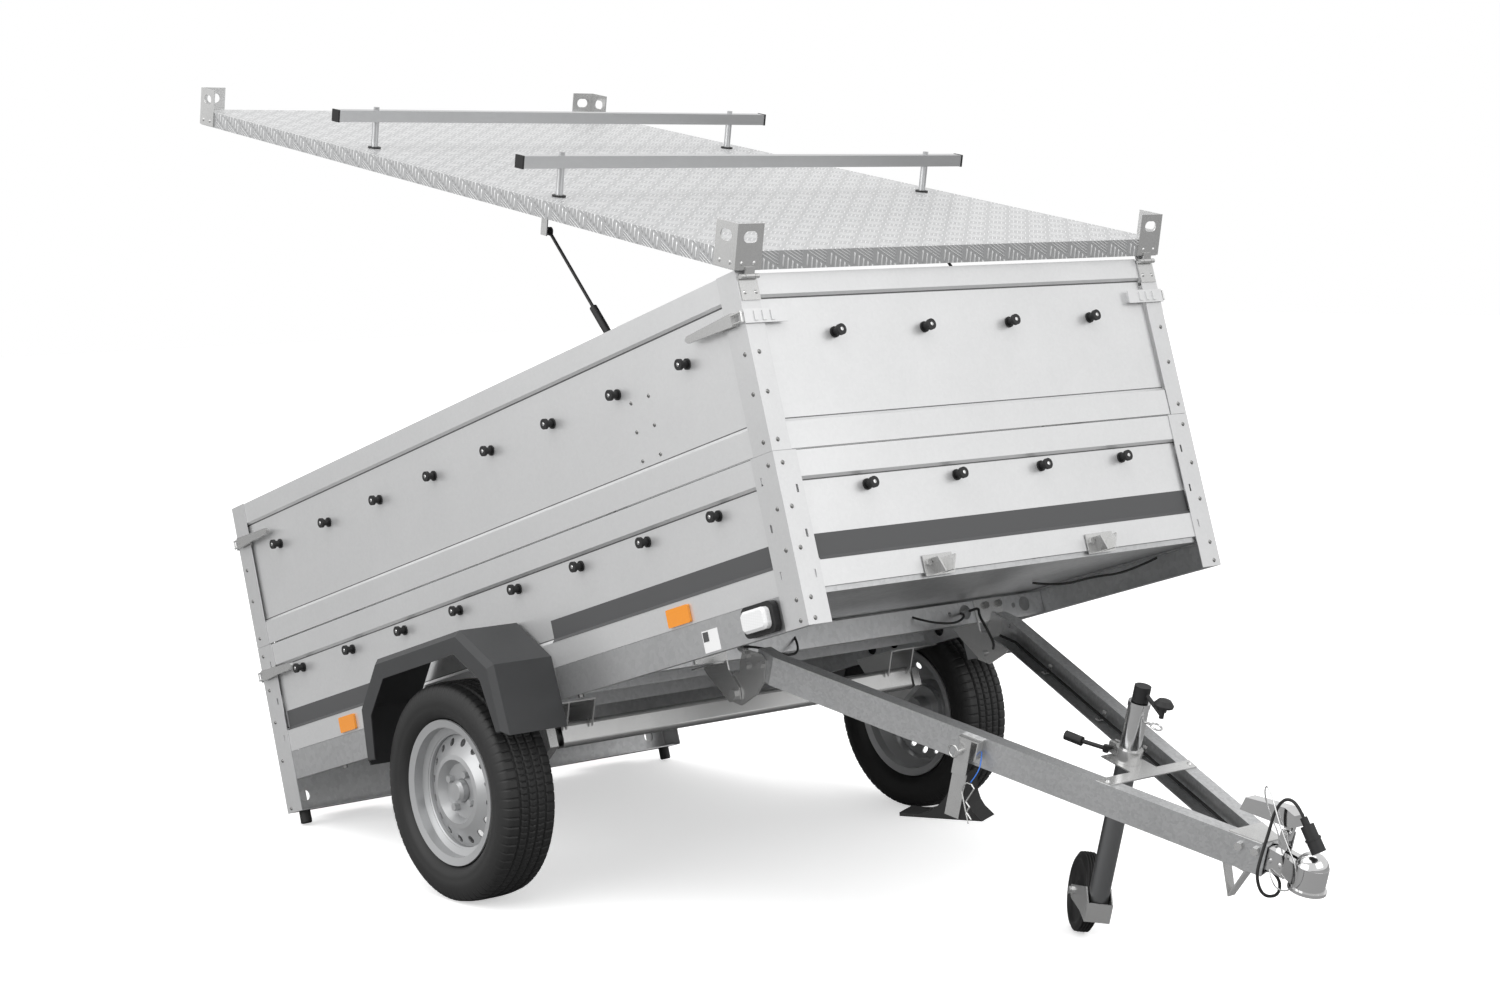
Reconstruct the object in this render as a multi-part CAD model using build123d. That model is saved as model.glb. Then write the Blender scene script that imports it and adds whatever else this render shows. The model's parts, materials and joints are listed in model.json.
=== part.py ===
from build123d import *
import math
import os

# Small tipping box trailer with raised sides and a chequer-plate lid.
#
# Everything is drawn as it stands level and shut, in millimetres: X forward, Y left, Z up,
# with the front panel's face at X = 0 and the underside of the side rails at Z = 0.  The lid
# is then raised, the drawbar dropped and the box tipped onto its rear feet, and the whole
# trailer is set down on the ground, centred in plan.

# ---- driving dimensions -------------------------------------------------------------------
BOX_LENGTH = 2380        # outside, front panel to rear post
BOX_WIDTH = 1348         # outside of the corner posts
SEAM_Z = 387             # joint between the lower sides and the raised sides
TOP_Z = 795              # top of the raised sides
FLAP_TOP_Z = 787         # top of the end flaps, clear of the raised lid's front edge
SHEET = 1.5              # panel sheet
POST_SHEET = 2.0         # corner post sheet
POST_SIDE = 80           # corner post leg along the side
POST_END = 67            # corner post leg along the front and rear
POST_STEP = 12           # how much narrower the raised sides' posts are
FLAP_GAP = 2             # between an end flap and the posts beside it
FIELD_DEPTH = 7          # how far a panel's middle field stands in from its edges
FOLD = 8                 # height of the slanted fold beside a field
RIM_Z = 739              # underside of the raised sides' top rim
UPPER_FOOT_Z = 450       # top of the raised sides' lower edge band
LOWER_HEAD_Z = 326       # underside of the lower sides' top band
LOWER_FOOT_Z = 138       # top of the lower sides' bottom band
PANEL_FOOT_Z = 78        # bottom of the lower panels, top of the rails' face
FLOOR_Z = 78             # top of the floor board
FLOOR_THICK = 12
RAIL_SHEET = 3.0
RAIL_FLANGE = 40
BEAM_X = -625            # face of the front beam
BEAM_HEIGHT = 60
REAR_DROP = 88           # how far the rear beam hangs below the rails

TIP_ANGLE = 16.6         # box nose-up
LID_ANGLE = 26.5         # lid raised from shut
DRAWBAR_ANGLE = 32.2     # drawbar dropped from level

AXLE_X = -1136           # axle tube
AXLE_Z = -76
AXLE_TUBE = 60
WHEEL_X = -1286
WHEEL_Z = -160
WHEEL_OUT = 96           # centre plane of each tyre, outside the posts
WHEEL_Y = BOX_WIDTH / 2 + WHEEL_OUT
TYRE_RADIUS = 273.5
TYRE_WIDTH = 155
RIM_RADIUS = 181.5       # outer edge of the rim flange
BEAD_RADIUS = 165
RIM_WIDTH = 128
BOLT_CIRCLE = 100

PIVOT_X = -615           # drawbar hinge
PIVOT_Z = -79
PIVOT_BOLT = 14
ARM_TOP = 55
ARM_HEIGHT = 71
ARM_SHEET = 3.0
ARM_FLANGE = 38
ARM_REAR_X = -570
ARM_KINK_X = -515        # the rear end of each arm runs straight up to here
ARM_REAR_Y = 411         # outside of each arm at its rear end
NOSE_X = 690
NOSE_Y = 30              # outside of each arm at the nose
JOCKEY_X = 248
JOCKEY_TUBE = 48
JOCKEY_INNER = 42
JOCKEY_LOW = -325        # lower end of the outer tube
JOCKEY_TRAIL = 124       # wheel axle behind the tube
JOCKEY_TURN = -35        # the wheel stands swivelled towards the left
JOCKEY_WHEEL_R = 94
JOCKEY_WHEEL_W = 40
BALL = 50                # towing ball
FIT = 0.3                # running gap between curved faces

LID_TOP = 832
LID_FLANGE = 42
LID_SHEET = 2.5
LID_GAP = 2.0            # between the lid's flange and the posts
LID_LENGTH = 2392
LID_HALF = BOX_WIDTH / 2 + 9
HINGE_X = 10
HINGE_Z = 778
BAR_X = (-775, -1610)
BAR_SIDE = 30
BAR_HALF = BOX_WIDTH / 2 + 46
BAR_POST_Y = BOX_WIDTH / 2 - 74
BAR_LIFT = 70

STRUT_X = -409           # lower mount of each gas strut
STRUT_Z = 500
STUD_S = 790             # lid stud, measured back from the hinge
STUD_DROP = -30          # and down from the hinge's level
STRUT_INSET = 56         # struts' middle plane, in from the outside of the posts
STRUT_Y = BOX_WIDTH / 2 - STRUT_INSET
CYLINDER_LENGTH = 425

KNOB_PITCH = 274.7
KNOB_FIRST_X = -238
UPPER_KNOB_Z = 646
LOWER_KNOB_Z = 294
END_KNOB_Y = (-415, -138, 138, 415)

half = BOX_WIDTH / 2
rear = -BOX_LENGTH


# ---- drawing helpers ----------------------------------------------------------------------
def block(x0, x1, y0, y1, z0, z1):
    size = Box(abs(x1 - x0), abs(y1 - y0), abs(z1 - z0))
    return Pos((x0 + x1) / 2, (y0 + y1) / 2, (z0 + z1) / 2) * size


def rod(start, end, radius):
    run = Vector(*end) - Vector(*start)
    return Solid.make_cylinder(radius, run.length, Plane(origin=start, z_dir=run.normalized()))


def pipe(start, end, radius, bore):
    run = (Vector(*end) - Vector(*start)).normalized()
    a = Vector(*start) - run
    b = Vector(*end) + run
    return rod(start, end, radius) - rod(tuple(a), tuple(b), bore)


def prism(points, run):
    return Solid.extrude(Face(Wire.make_polygon([Vector(*p) for p in points])), Vector(*run))


def side_plate(outline, y0, y1):
    """Flat plate whose outline is given as (x, z), between y0 and y1."""
    return prism([(x, y0, z) for x, z in outline], (0, y1 - y0, 0))


def strip(path, inner, outer, z0, z1):
    """Upright wall or flat flange that follows a plan path, between two offsets to its left."""
    def offset(distance):
        out = []
        for i, (x, y) in enumerate(path):
            normals = []
            for a, b in ((i - 1, i), (i, i + 1)):
                if a >= 0 and b < len(path):
                    dx = path[b][0] - path[a][0]
                    dy = path[b][1] - path[a][1]
                    length = math.hypot(dx, dy)
                    normals.append((-dy / length, dx / length))
            nx = sum(n[0] for n in normals) / len(normals)
            ny = sum(n[1] for n in normals) / len(normals)
            scale = distance / (nx * nx + ny * ny)
            out.append((x + nx * scale, y + ny * scale, z0))
        return out
    return prism(offset(inner) + offset(outer)[::-1], (0, 0, z1 - z0))


def hex_head(point, direction, across, height):
    plane = Plane(origin=point, z_dir=direction)
    return extrude(plane * RegularPolygon(across / math.sqrt(3), 6), height)


def dome(point, direction, radius, height):
    """Low round rivet or screw head."""
    plane = Plane(origin=point, z_dir=direction)
    head = Solid.make_cone(radius, radius * 0.55, height, plane)
    return head


def mirrored(shape):
    return shape.mirror(Plane.XZ)


def both(shape):
    return [shape, mirrored(shape)]


def solids(*items):
    out = []
    for item in items:
        if isinstance(item, (list, tuple)):
            out += solids(*item)
        else:
            out += item.solids()
    return out


nodes = {}


def keep(name, frame, *items):
    nodes[name] = (frame, Compound(children=solids(*items)))


# ---- box ----------------------------------------------------------------------------------
def panel_outline(z0, z1, steps):
    """Folded section from the bottom up: (depth, z) along the outside face."""
    points = [(0, z0)]
    for z, goes_in in steps:
        if goes_in:
            points += [(0, z), (FIELD_DEPTH, z + FOLD)]
        else:
            points += [(FIELD_DEPTH, z - FOLD), (0, z)]
    return points + [(0, z1)]


def panel_wall(outline):
    back = [(d + SHEET, z) for d, z in outline]
    return outline + back[::-1]


UPPER_STEPS = [(UPPER_FOOT_Z, True), (RIM_Z, False)]
UPPER = panel_wall(panel_outline(SEAM_Z + 2, TOP_Z - 1, UPPER_STEPS))
UPPER_FLAP = panel_wall(panel_outline(SEAM_Z + 2, FLAP_TOP_Z, UPPER_STEPS))
LOWER = panel_wall(panel_outline(PANEL_FOOT_Z + 1, SEAM_Z - 1,
                                 [(LOWER_FOOT_Z, True), (LOWER_HEAD_Z, False)]))


def side_panel(section):
    face = half - POST_SHEET - 0.5
    points = [(rear + POST_SHEET + 8, -face + d, z) for d, z in section]
    return prism(points, (BOX_LENGTH - 2 * POST_SHEET - 16, 0, 0))


def end_panel(section, at_front, run):
    if at_front:
        points = [(-POST_SHEET - 0.5 - d, -run / 2, z) for d, z in section]
    else:
        points = [(rear + POST_SHEET + 0.5 + d, -run / 2, z) for d, z in section]
    return prism(points, (0, run, 0))


def top_rim(at_front):
    """Folded return along the top edge of an end flap."""
    x = -POST_SHEET - 1.5 if at_front else rear + POST_SHEET + 1.5
    inward = -22 if at_front else 22
    reach = flap_run / 2 - 20
    return block(x, x + inward, -reach, reach, FLAP_TOP_Z - 3, FLAP_TOP_Z - 0.5)


side_rim = block(rear + 40, -40, -half + POST_SHEET + 1.5, -half + 28, TOP_Z - 3.5, TOP_Z - 1)
keep("upper_side_panels", "box", both(side_panel(UPPER) + side_rim))
front_run = BOX_WIDTH - 2 * POST_SHEET - 28
keep("lower_panels", "box", both(side_panel(LOWER)), end_panel(LOWER, True, front_run))

flap_run = BOX_WIDTH - 2 * (POST_END - POST_STEP + FLAP_GAP)
tailgate_run = BOX_WIDTH - 2 * (POST_END + FLAP_GAP)
front_flap = end_panel(UPPER_FLAP, True, flap_run) + top_rim(True)
rear_flap = end_panel(UPPER_FLAP, False, flap_run) + top_rim(False)
tail_flap = end_panel(LOWER, False, tailgate_run)


# ---- corner posts -------------------------------------------------------------------------
def corner_post(x, y, z0, z1, along_side, along_end):
    """Angle section wrapped round the corner; its legs point into the box."""
    sx = -1 if x == 0 else 1
    sy = 1 if y < 0 else -1
    leg_side = block(x, x + sx * along_side, y, y + sy * POST_SHEET, z0, z1)
    leg_end = block(x, x + sx * POST_SHEET, y, y + sy * along_end, z0, z1)
    return leg_side + leg_end


def slots(x, y, z_list, face):
    cuts = []
    for z in z_list:
        if face == "end":
            cuts.append(block(x - 5, x + 5, y - 3, y + 3, z - 9, z + 9))
        else:
            cuts.append(block(x - 3, x + 3, y - 5, y + 5, z - 9, z + 9))
    return cuts


post_solids = []
for x in (0, rear):
    for y in (-half, half):
        foot = 0 if x == 0 else -REAR_DROP
        lower_post = corner_post(x, y, foot, SEAM_Z - 0.5, POST_SIDE, POST_END)
        upper_post = corner_post(x, y, SEAM_Z + 0.5, TOP_Z,
                                 POST_SIDE - POST_STEP, POST_END - POST_STEP)
        sx = -1 if x == 0 else 1
        sy = 1 if y < 0 else -1
        for cut in slots(x + sx * POST_SIDE * 0.72, y, (120, 225, 330), "side"):
            lower_post -= cut
        for cut in slots(x, y + sy * POST_END * 0.72, (110, 200, 300), "end"):
            lower_post -= cut
        post_solids += [lower_post, upper_post]
keep("corner_posts", "box", post_solids)


# ---- frame under the box ------------------------------------------------------------------
rail_y = half - POST_SHEET - 0.5
rail_x0 = rear + POST_SHEET + RAIL_SHEET + 1
rail_x1 = -POST_SHEET - 0.5
web = block(rail_x0, rail_x1, -rail_y, -rail_y + RAIL_SHEET, 0, PANEL_FOOT_Z)
top_flange = block(rail_x0, rail_x1, -rail_y, -rail_y + RAIL_FLANGE,
                   FLOOR_Z - FLOOR_THICK - 4, FLOOR_Z - FLOOR_THICK - 1)
low_flange = block(rail_x0, rail_x1, -rail_y, -rail_y + 22, 0, RAIL_SHEET)
rail = web + top_flange + low_flange
for x in (-1040, -1136, -1232, -1328):
    rail -= rod((x, -rail_y - 5, 36), (x, -rail_y + 10, 36), 19)

beam_y = rail_y - RAIL_SHEET - 1
beam_face = block(BEAM_X - RAIL_SHEET, BEAM_X, -beam_y, beam_y, 3.5, BEAM_HEIGHT)
beam_foot = block(BEAM_X - 38, BEAM_X, -beam_y + 20, beam_y - 20, 3.5, 6.5)
beam_head = block(BEAM_X - 38, BEAM_X, -beam_y + 40, beam_y - 40, BEAM_HEIGHT - 3, BEAM_HEIGHT)
front_beam = beam_face + beam_foot + beam_head
for y, r in ((-600, 19), (-360, 19), (385, 19), (600, 19), (330, 6), (560, 7)):
    front_beam -= rod((BEAM_X - 10, y, 34), (BEAM_X + 5, y, 34), r)
middle_beams = []
for x in (-1060, -1500, -1940):
    face = block(x - RAIL_SHEET, x, -beam_y + 40, beam_y - 40, 12, BEAM_HEIGHT)
    head = block(x - 32, x, -beam_y + 40, beam_y - 40, BEAM_HEIGHT - 3, BEAM_HEIGHT)
    middle_beams.append(face + head)
rear_x = rear + POST_SHEET + 0.5
rear_face = block(rear_x, rear_x + RAIL_SHEET, -half + 8, half - 8, -REAR_DROP, PANEL_FOOT_Z - 4)
rear_lip = block(rear_x, rear_x + 62, -half + 8, half - 8, -REAR_DROP, -REAR_DROP + RAIL_SHEET)
for y in (-half + 60, half - 60):
    rear_face -= rod((rear_x - 5, y, -45), (rear_x + 8, y, -45), 16)
keep("chassis_frame", "box", both(rail), front_beam, middle_beams, rear_face + rear_lip)

floor_y = rail_y - RAIL_SHEET - 1
floor = block(rear_x + 6, -8, -floor_y, floor_y, FLOOR_Z - FLOOR_THICK, FLOOR_Z)
floor_ribs = []
for y in (-300, 0, 300):
    floor_ribs.append(block(rear_x + 60, -60, y - 14, y + 14, FLOOR_Z, FLOOR_Z + 4))
for rib in floor_ribs:
    floor += rib
keep("floor_sheet", "box", floor)


# ---- axle, swing arms and wheels ----------------------------------------------------------
AXLE_HALF = half - 84
tube = block(AXLE_X - AXLE_TUBE / 2, AXLE_X + AXLE_TUBE / 2, -AXLE_HALF, AXLE_HALF,
             AXLE_Z - AXLE_TUBE / 2, AXLE_Z + AXLE_TUBE / 2)
tube = fillet(tube.edges().filter_by(Axis.Y), 12)
core = block(AXLE_X - AXLE_TUBE / 2 + 4, AXLE_X + AXLE_TUBE / 2 - 4, -AXLE_HALF - 1, AXLE_HALF + 1,
             AXLE_Z - AXLE_TUBE / 2 + 4, AXLE_Z + AXLE_TUBE / 2 - 4)
tube -= core
bracket_top = -0.4
bracket_foot = AXLE_Z + AXLE_TUBE / 2 + 0.4
bracket_wall = [(AXLE_X - 75, bracket_top), (AXLE_X + 75, bracket_top),
                (AXLE_X + 38, AXLE_Z + 10), (AXLE_X + 31.5, bracket_foot),
                (AXLE_X - 31.5, bracket_foot), (AXLE_X - 38, AXLE_Z + 10)]
brackets = []
for y in (-AXLE_HALF + 5, -AXLE_HALF + 85):
    brackets.append(side_plate(bracket_wall, y, y + 5))
bracket_cap = block(AXLE_X - 75, AXLE_X + 75, -AXLE_HALF - 10, -AXLE_HALF + 90,
                    bracket_top - 4, bracket_top)
axle_bracket = bracket_cap + brackets[0] + brackets[1]
bracket_outer = block(AXLE_X - 75, AXLE_X + 75, -rail_y + 2, -AXLE_HALF - 5,
                      bracket_top - 4, bracket_top)
keep("axle_tube", "box", tube, both(axle_bracket + bracket_outer))


def wheel_ring(profile, y):
    """Body of revolution about the wheel's axis; profile is (offset outward, radius)."""
    points = [(WHEEL_X, y + off, WHEEL_Z + r) for off, r in profile]
    face = Face(Wire.make_polygon([Vector(*p) for p in points]))
    return Solid.revolve(face, 360, Axis((WHEEL_X, y, WHEEL_Z), (0, 1, 0)))


half_tread = 57
half_tyre = TYRE_WIDTH / 2
tyre_profile = [(-half_tread, TYRE_RADIUS), (half_tread, TYRE_RADIUS),
                (half_tyre - 9, TYRE_RADIUS - 12), (half_tyre, TYRE_RADIUS - 45),
                (half_tyre - 4, RIM_RADIUS + 16), (RIM_WIDTH / 2 - 2, RIM_RADIUS + 4),
                (RIM_WIDTH / 2 - 8.5, RIM_RADIUS + 2), (RIM_WIDTH / 2 - 8.5, BEAD_RADIUS + 3),
                (RIM_WIDTH / 2 - 24, BEAD_RADIUS + 3),
                (half_tyre - 16, RIM_RADIUS + 20), (half_tyre - 10, TYRE_RADIUS - 46),
                (half_tread - 6, TYRE_RADIUS - 12), (-half_tread + 6, TYRE_RADIUS - 12),
                (-half_tyre + 10, TYRE_RADIUS - 46), (-half_tyre + 16, RIM_RADIUS + 20),
                (-RIM_WIDTH / 2 + 24, BEAD_RADIUS + 3), (-RIM_WIDTH / 2 + 8.5, BEAD_RADIUS + 3),
                (-RIM_WIDTH / 2 + 8.5, RIM_RADIUS + 2), (-RIM_WIDTH / 2 + 2, RIM_RADIUS + 4),
                (-half_tyre + 4, RIM_RADIUS + 16),
                (-half_tyre, TYRE_RADIUS - 45), (-half_tyre + 9, TYRE_RADIUS - 12)]
# The rim is given for the right-hand wheel: outward is -Y.
rim_half = RIM_WIDTH / 2
DISC_Y = -20             # wheel disc, outboard of the tyre's centre plane
rim_profile = [(-rim_half, RIM_RADIUS), (-rim_half + 4, RIM_RADIUS + 1),
               (-rim_half + 7.5, BEAD_RADIUS + 2), (-rim_half + 26, BEAD_RADIUS + 1),
               (-rim_half + 34, BEAD_RADIUS - 20), (rim_half - 50, BEAD_RADIUS - 20),
               (rim_half - 26, BEAD_RADIUS + 1), (rim_half - 7.5, BEAD_RADIUS + 2),
               (rim_half - 4, RIM_RADIUS + 1), (rim_half, RIM_RADIUS),
               (rim_half - 4, BEAD_RADIUS - 3), (rim_half - 28, BEAD_RADIUS - 4),
               (rim_half - 52, BEAD_RADIUS - 24), (-rim_half + 37, BEAD_RADIUS - 24),
               (-rim_half + 28, BEAD_RADIUS - 4), (-rim_half + 4, BEAD_RADIUS - 3)]
disc_profile = [(DISC_Y + 2, BEAD_RADIUS - 24.5), (DISC_Y - 8, 118), (DISC_Y - 22, 92),
                (DISC_Y - 24, 80), (DISC_Y - 2, 68), (DISC_Y - 2, 30), (DISC_Y + 2, 30),
                (DISC_Y + 2, 70), (DISC_Y - 19, 81), (DISC_Y - 18, 92), (DISC_Y - 4, 119),
                (DISC_Y + 7, BEAD_RADIUS - 24.5)]
VENTS = 16
VENT_CIRCLE = 104 * 1.18


def wheel_disc(y):
    disc = wheel_ring(disc_profile, y)
    vent = None
    for i in range(VENTS):
        a = 2 * math.pi * i / VENTS
        x = WHEEL_X + VENT_CIRCLE * math.cos(a)
        z = WHEEL_Z + VENT_CIRCLE * math.sin(a)
        hole = rod((x, y + DISC_Y - 30, z), (x, y + DISC_Y + 20, z), 9.5)
        vent = hole if vent is None else vent + hole
    disc -= vent
    for i in range(4):
        a = math.pi / 4 + math.pi / 2 * i
        x = WHEEL_X + BOLT_CIRCLE / 2 * math.cos(a)
        z = WHEEL_Z + BOLT_CIRCLE / 2 * math.sin(a)
        disc -= rod((x, y + DISC_Y - 30, z), (x, y + DISC_Y + 20, z), 7)
    return disc


right_y = -WHEEL_Y
tyre = wheel_ring(tyre_profile, right_y)
rim = [wheel_ring(rim_profile, right_y), wheel_disc(right_y)]
hub_face = right_y + DISC_Y + 2.2
hub = rod((WHEEL_X, hub_face, WHEEL_Z), (WHEEL_X, hub_face + 14, WHEEL_Z), 66)
hub += rod((WHEEL_X, hub_face + 14, WHEEL_Z), (WHEEL_X, hub_face + 52, WHEEL_Z), 36)
hub += rod((WHEEL_X, hub_face - 20, WHEEL_Z), (WHEEL_X, hub_face, WHEEL_Z), 28)
hub += Solid.make_cone(28, 22, 9, Plane(origin=(WHEEL_X, hub_face - 20, WHEEL_Z), z_dir=(0, -1, 0)))
SPINDLE_R = 15
hub -= rod((WHEEL_X, hub_face - 6, WHEEL_Z), (WHEEL_X, hub_face + 60, WHEEL_Z), SPINDLE_R + 0.05)
wheel_bolts = []
for i in range(4):
    a = math.pi / 4 + math.pi / 2 * i
    x = WHEEL_X + BOLT_CIRCLE / 2 * math.cos(a)
    z = WHEEL_Z + BOLT_CIRCLE / 2 * math.sin(a)
    head = hex_head((x, hub_face - 4.4, z), (0, -1, 0), 17, 14)
    wheel_bolts.append(head)
arm_y = -AXLE_HALF - 14
arm_bar = prism([(AXLE_X + 22, arm_y, AXLE_Z + 24), (AXLE_X + 24, arm_y, AXLE_Z - 26),
                 (WHEEL_X + 10, arm_y, WHEEL_Z - 26), (WHEEL_X - 26, arm_y, WHEEL_Z - 10),
                 (WHEEL_X - 22, arm_y, WHEEL_Z + 24), (AXLE_X - 14, arm_y, AXLE_Z + 28)],
                (0, -26, 0))
spindle = rod((WHEEL_X, arm_y - 26, WHEEL_Z), (WHEEL_X, hub_face + 1, WHEEL_Z), SPINDLE_R)
torsion_bar = block(AXLE_X - 15, AXLE_X + 15, arm_y, arm_y + 90, AXLE_Z - 15, AXLE_Z + 15)
torsion_bar = torsion_bar.rotate(Axis((AXLE_X, 0, AXLE_Z), (0, 1, 0)), 45)
swing_arm = arm_bar + spindle + torsion_bar
keep("tyre_right", "box", tyre)
keep("wheel_right", "box", rim, hub, wheel_bolts)
keep("swing_arm_right", "box", swing_arm)
keep("tyre_left", "box", mirrored(tyre))
keep("wheel_left", "box", [mirrored(piece) for piece in rim + [hub] + wheel_bolts])
keep("swing_arm_left", "box", mirrored(swing_arm))

# ---- mudguards ----------------------------------------------------------------------------
GUARD_OUT = WHEEL_Y + 88
GUARD_WALL = 3
GUARD_BEVEL = 14
guard_path = [(-958, -66), (-968, 108), (-1085, 214), (-1480, 214), (-1592, 108), (-1610, -40)]
guard_inner = [(-960, -90), (-971, 106.6), (-1086.2, 211), (-1478.8, 211), (-1589, 106.6),
               (-1608, -70)]
guard_arch = [(-985, -90), (-1020, 80), (-1112, 160), (-1450, 160), (-1540, 80), (-1568, -70)]
guard_y = half + 1


def bevelled(shape, face, bevel):
    """Cuts off the edges round the upright face that lies at Y = face."""
    edges = shape.edges().filter_by(lambda e: abs(e.center().Y - face) < 1 and e.center().Z > -60)
    return chamfer(edges, bevel)


guard = bevelled(side_plate(guard_path, -GUARD_OUT, -guard_y), -GUARD_OUT, GUARD_BEVEL)
guard -= bevelled(side_plate(guard_inner, -GUARD_OUT + GUARD_WALL, -guard_y + 1),
                  -GUARD_OUT + GUARD_WALL, GUARD_BEVEL - 0.6 * GUARD_WALL)
guard -= side_plate(guard_arch, -GUARD_OUT - 5, -GUARD_OUT + 10)
keep("mudguards", "box", both(guard))


# ---- lamps, reflectors, knobs and fasteners on the box -------------------------------------
LAMP_X = -146
LAMP_Z = 41
lamp_shell = block(LAMP_X - 56, LAMP_X + 56, -half - 16, -half - 0.3, LAMP_Z - 35, LAMP_Z + 35)
lamp_shell = fillet(lamp_shell.edges().filter_by(Axis.Y), 16)
lamp_dome = block(LAMP_X - 44, LAMP_X + 44, -half - 34, -half - 16.2, LAMP_Z - 25, LAMP_Z + 25)
lamp_dome = fillet(lamp_dome.edges().filter_by(Axis.Y), 14)
lamp_dome = chamfer(lamp_dome.faces().sort_by(Axis.Y)[0].edges(), 6)
tail_shell = block(rear - 42, rear - 0.3, -half + 114, -half + 324, -82, 30)
tail_shell = fillet(tail_shell.edges().filter_by(Axis.X), 12)
tail_lens = block(rear - 56, rear - 42.2, -half + 122, -half + 316, -74, 22)
tail_lens = fillet(tail_lens.edges().filter_by(Axis.X), 10)
keep("lamp_housings", "box", both(lamp_shell), both(tail_shell))
keep("front_lamp_lenses", "box", both(lamp_dome))
keep("tail_lamp_lenses", "box", both(tail_lens))

reflectors = []
for x, w in ((-441, 84), (-1967, 80)):
    plate = block(x - w / 2, x + w / 2, -half - 4.5, -half + POST_SHEET, 84, 126)
    reflectors += both(fillet(plate.edges().filter_by(Axis.Y), 4))
keep("side_reflectors", "box", reflectors)


def knob(point, direction):
    """Round plastic tarpaulin hook: flange, waist and head."""
    plane = Plane(origin=point, z_dir=direction)
    shape = Solid.make_cylinder(13, 4, plane)
    shape += Solid.make_cylinder(8.5, 20, plane)
    tip = Plane(origin=tuple(Vector(*point) + Vector(*direction) * 20), z_dir=direction)
    shape += Solid.make_cylinder(13, 8, tip)
    return shape


field_y = half - POST_SHEET - 0.5 - FIELD_DEPTH
field_x = -POST_SHEET - 0.5 - FIELD_DEPTH
knobs = []
for i in range(8):
    x = KNOB_FIRST_X - i * KNOB_PITCH
    for z in (UPPER_KNOB_Z, LOWER_KNOB_Z):
        knobs += both(knob((x, -field_y, z), (0, -1, 0)))
knobs += [knob((field_x, y, LOWER_KNOB_Z), (1, 0, 0)) for y in END_KNOB_Y]
keep("box_knobs", "box", knobs)

fasteners = []
for x in (0, rear):
    out = 1 if x == 0 else -1
    low = 14 if x == 0 else -76
    for z in (low, 60, 170, 262, 360, 412, 520, 610):
        for sy in (-1, 1):
            fasteners.append(dome((x, sy * (half - 22), z), (out, 0, 0), 5.5, 3))
            fasteners.append(dome((x - out * 24, sy * half, z), (0, sy, 0), 5.5, 3))
for i in range(6):
    x = -400 - 70 * (i % 2)
    z = (476, 545, 614)[i // 2]
    fasteners += both(dome((x, -half + POST_SHEET + 0.5 + FIELD_DEPTH, z), (0, -1, 0), 5, 3))
for x in (-900, -1700, -2050):
    fasteners += both(hex_head((x, -rail_y + 12, 0), (0, 0, -1), 13, 8))
for y in (455, 502):
    fasteners += both(hex_head((BEAM_X + 4.5, -y, 44), (1, 0, 0), 16, 8))
keep("frame_fasteners", "box", fasteners)


# ---- ground contact -----------------------------------------------------------------------
tip = math.radians(TIP_ANGLE)
drop = math.radians(DRAWBAR_ANGLE)
ground_level = math.sin(tip) * WHEEL_X + math.cos(tip) * WHEEL_Z - TYRE_RADIUS


def ground_z(x):
    """Height of the ground in the box's own frame, at X = x."""
    return (ground_level - math.sin(tip) * x) / math.cos(tip)


foot_x = rear + 34
foot_low = max(ground_z(foot_x - 16), ground_z(foot_x + 16))
foot = rod((foot_x, -half + 34, foot_low + 0.3), (foot_x, -half + 34, -REAR_DROP), 16)
foot = chamfer(foot.faces().sort_by(Axis.Z)[0].edges(), 3)
keep("rubber_feet", "box", both(foot))


# ---- drawbar hangers, saddle hooks, cable --------------------------------------------------
plate_y = ARM_REAR_Y + 0.3       # inside face of the drawbar's hinge plate
PLATE = 5
hanger_y = plate_y + PLATE + 1.2
hanger_shape = [(-715, 3), (BEAM_X + 0.3, 3), (BEAM_X + 0.3, 60), (BEAM_X + 4.3, 60),
                (BEAM_X + 4.3, -20), (PIVOT_X + 20, PIVOT_Z + 12), (PIVOT_X + 16, PIVOT_Z - 16),
                (PIVOT_X - 26, PIVOT_Z - 16), (-705, -15)]
hanger = side_plate(hanger_shape, -hanger_y - 4, -hanger_y)
hanger += block(BEAM_X + 0.3, BEAM_X + 4.3, -hanger_y - 98, -hanger_y, 5, 60)
hanger += block(-715, BEAM_X - 2, -hanger_y - 40, -hanger_y, 0.2, 3.2)
pivot_bolt = rod((PIVOT_X, -hanger_y - 8, PIVOT_Z), (PIVOT_X, -plate_y + 8, PIVOT_Z), PIVOT_BOLT / 2)
pivot_head = hex_head((PIVOT_X, -hanger_y - 4, PIVOT_Z), (0, -1, 0), 22, 9)
hanger = hanger + pivot_bolt + pivot_head
keep("drawbar_hangers", "box", both(hanger))

hooks = []
for y in (-262, 268):
    back = block(0.2, 3.2, y - 45, y + 45, 70, 118)
    for dy, tilt in ((-12, -1), (12, 1)):
        wing = block(3.2, 34, y + dy - 2, y + dy + 2, 74, 112)
        wing = wing.rotate(Axis((0, y + dy, 74), (1, 0, 0)), -tilt * 24)
        back += wing
    hooks.append(back)
    hooks += [hex_head((3.4, y + dy, 100), (1, 0, 0), 13, 8) for dy in (-34, 34)]

CABLE_R = 3.5
loom_route = [(-608, 385, 34), (-560, 372, 34), (-520, 330, 10), (-500, 330, -34),
              (-520, 360, -66), (-560, 392, -74)]


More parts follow.
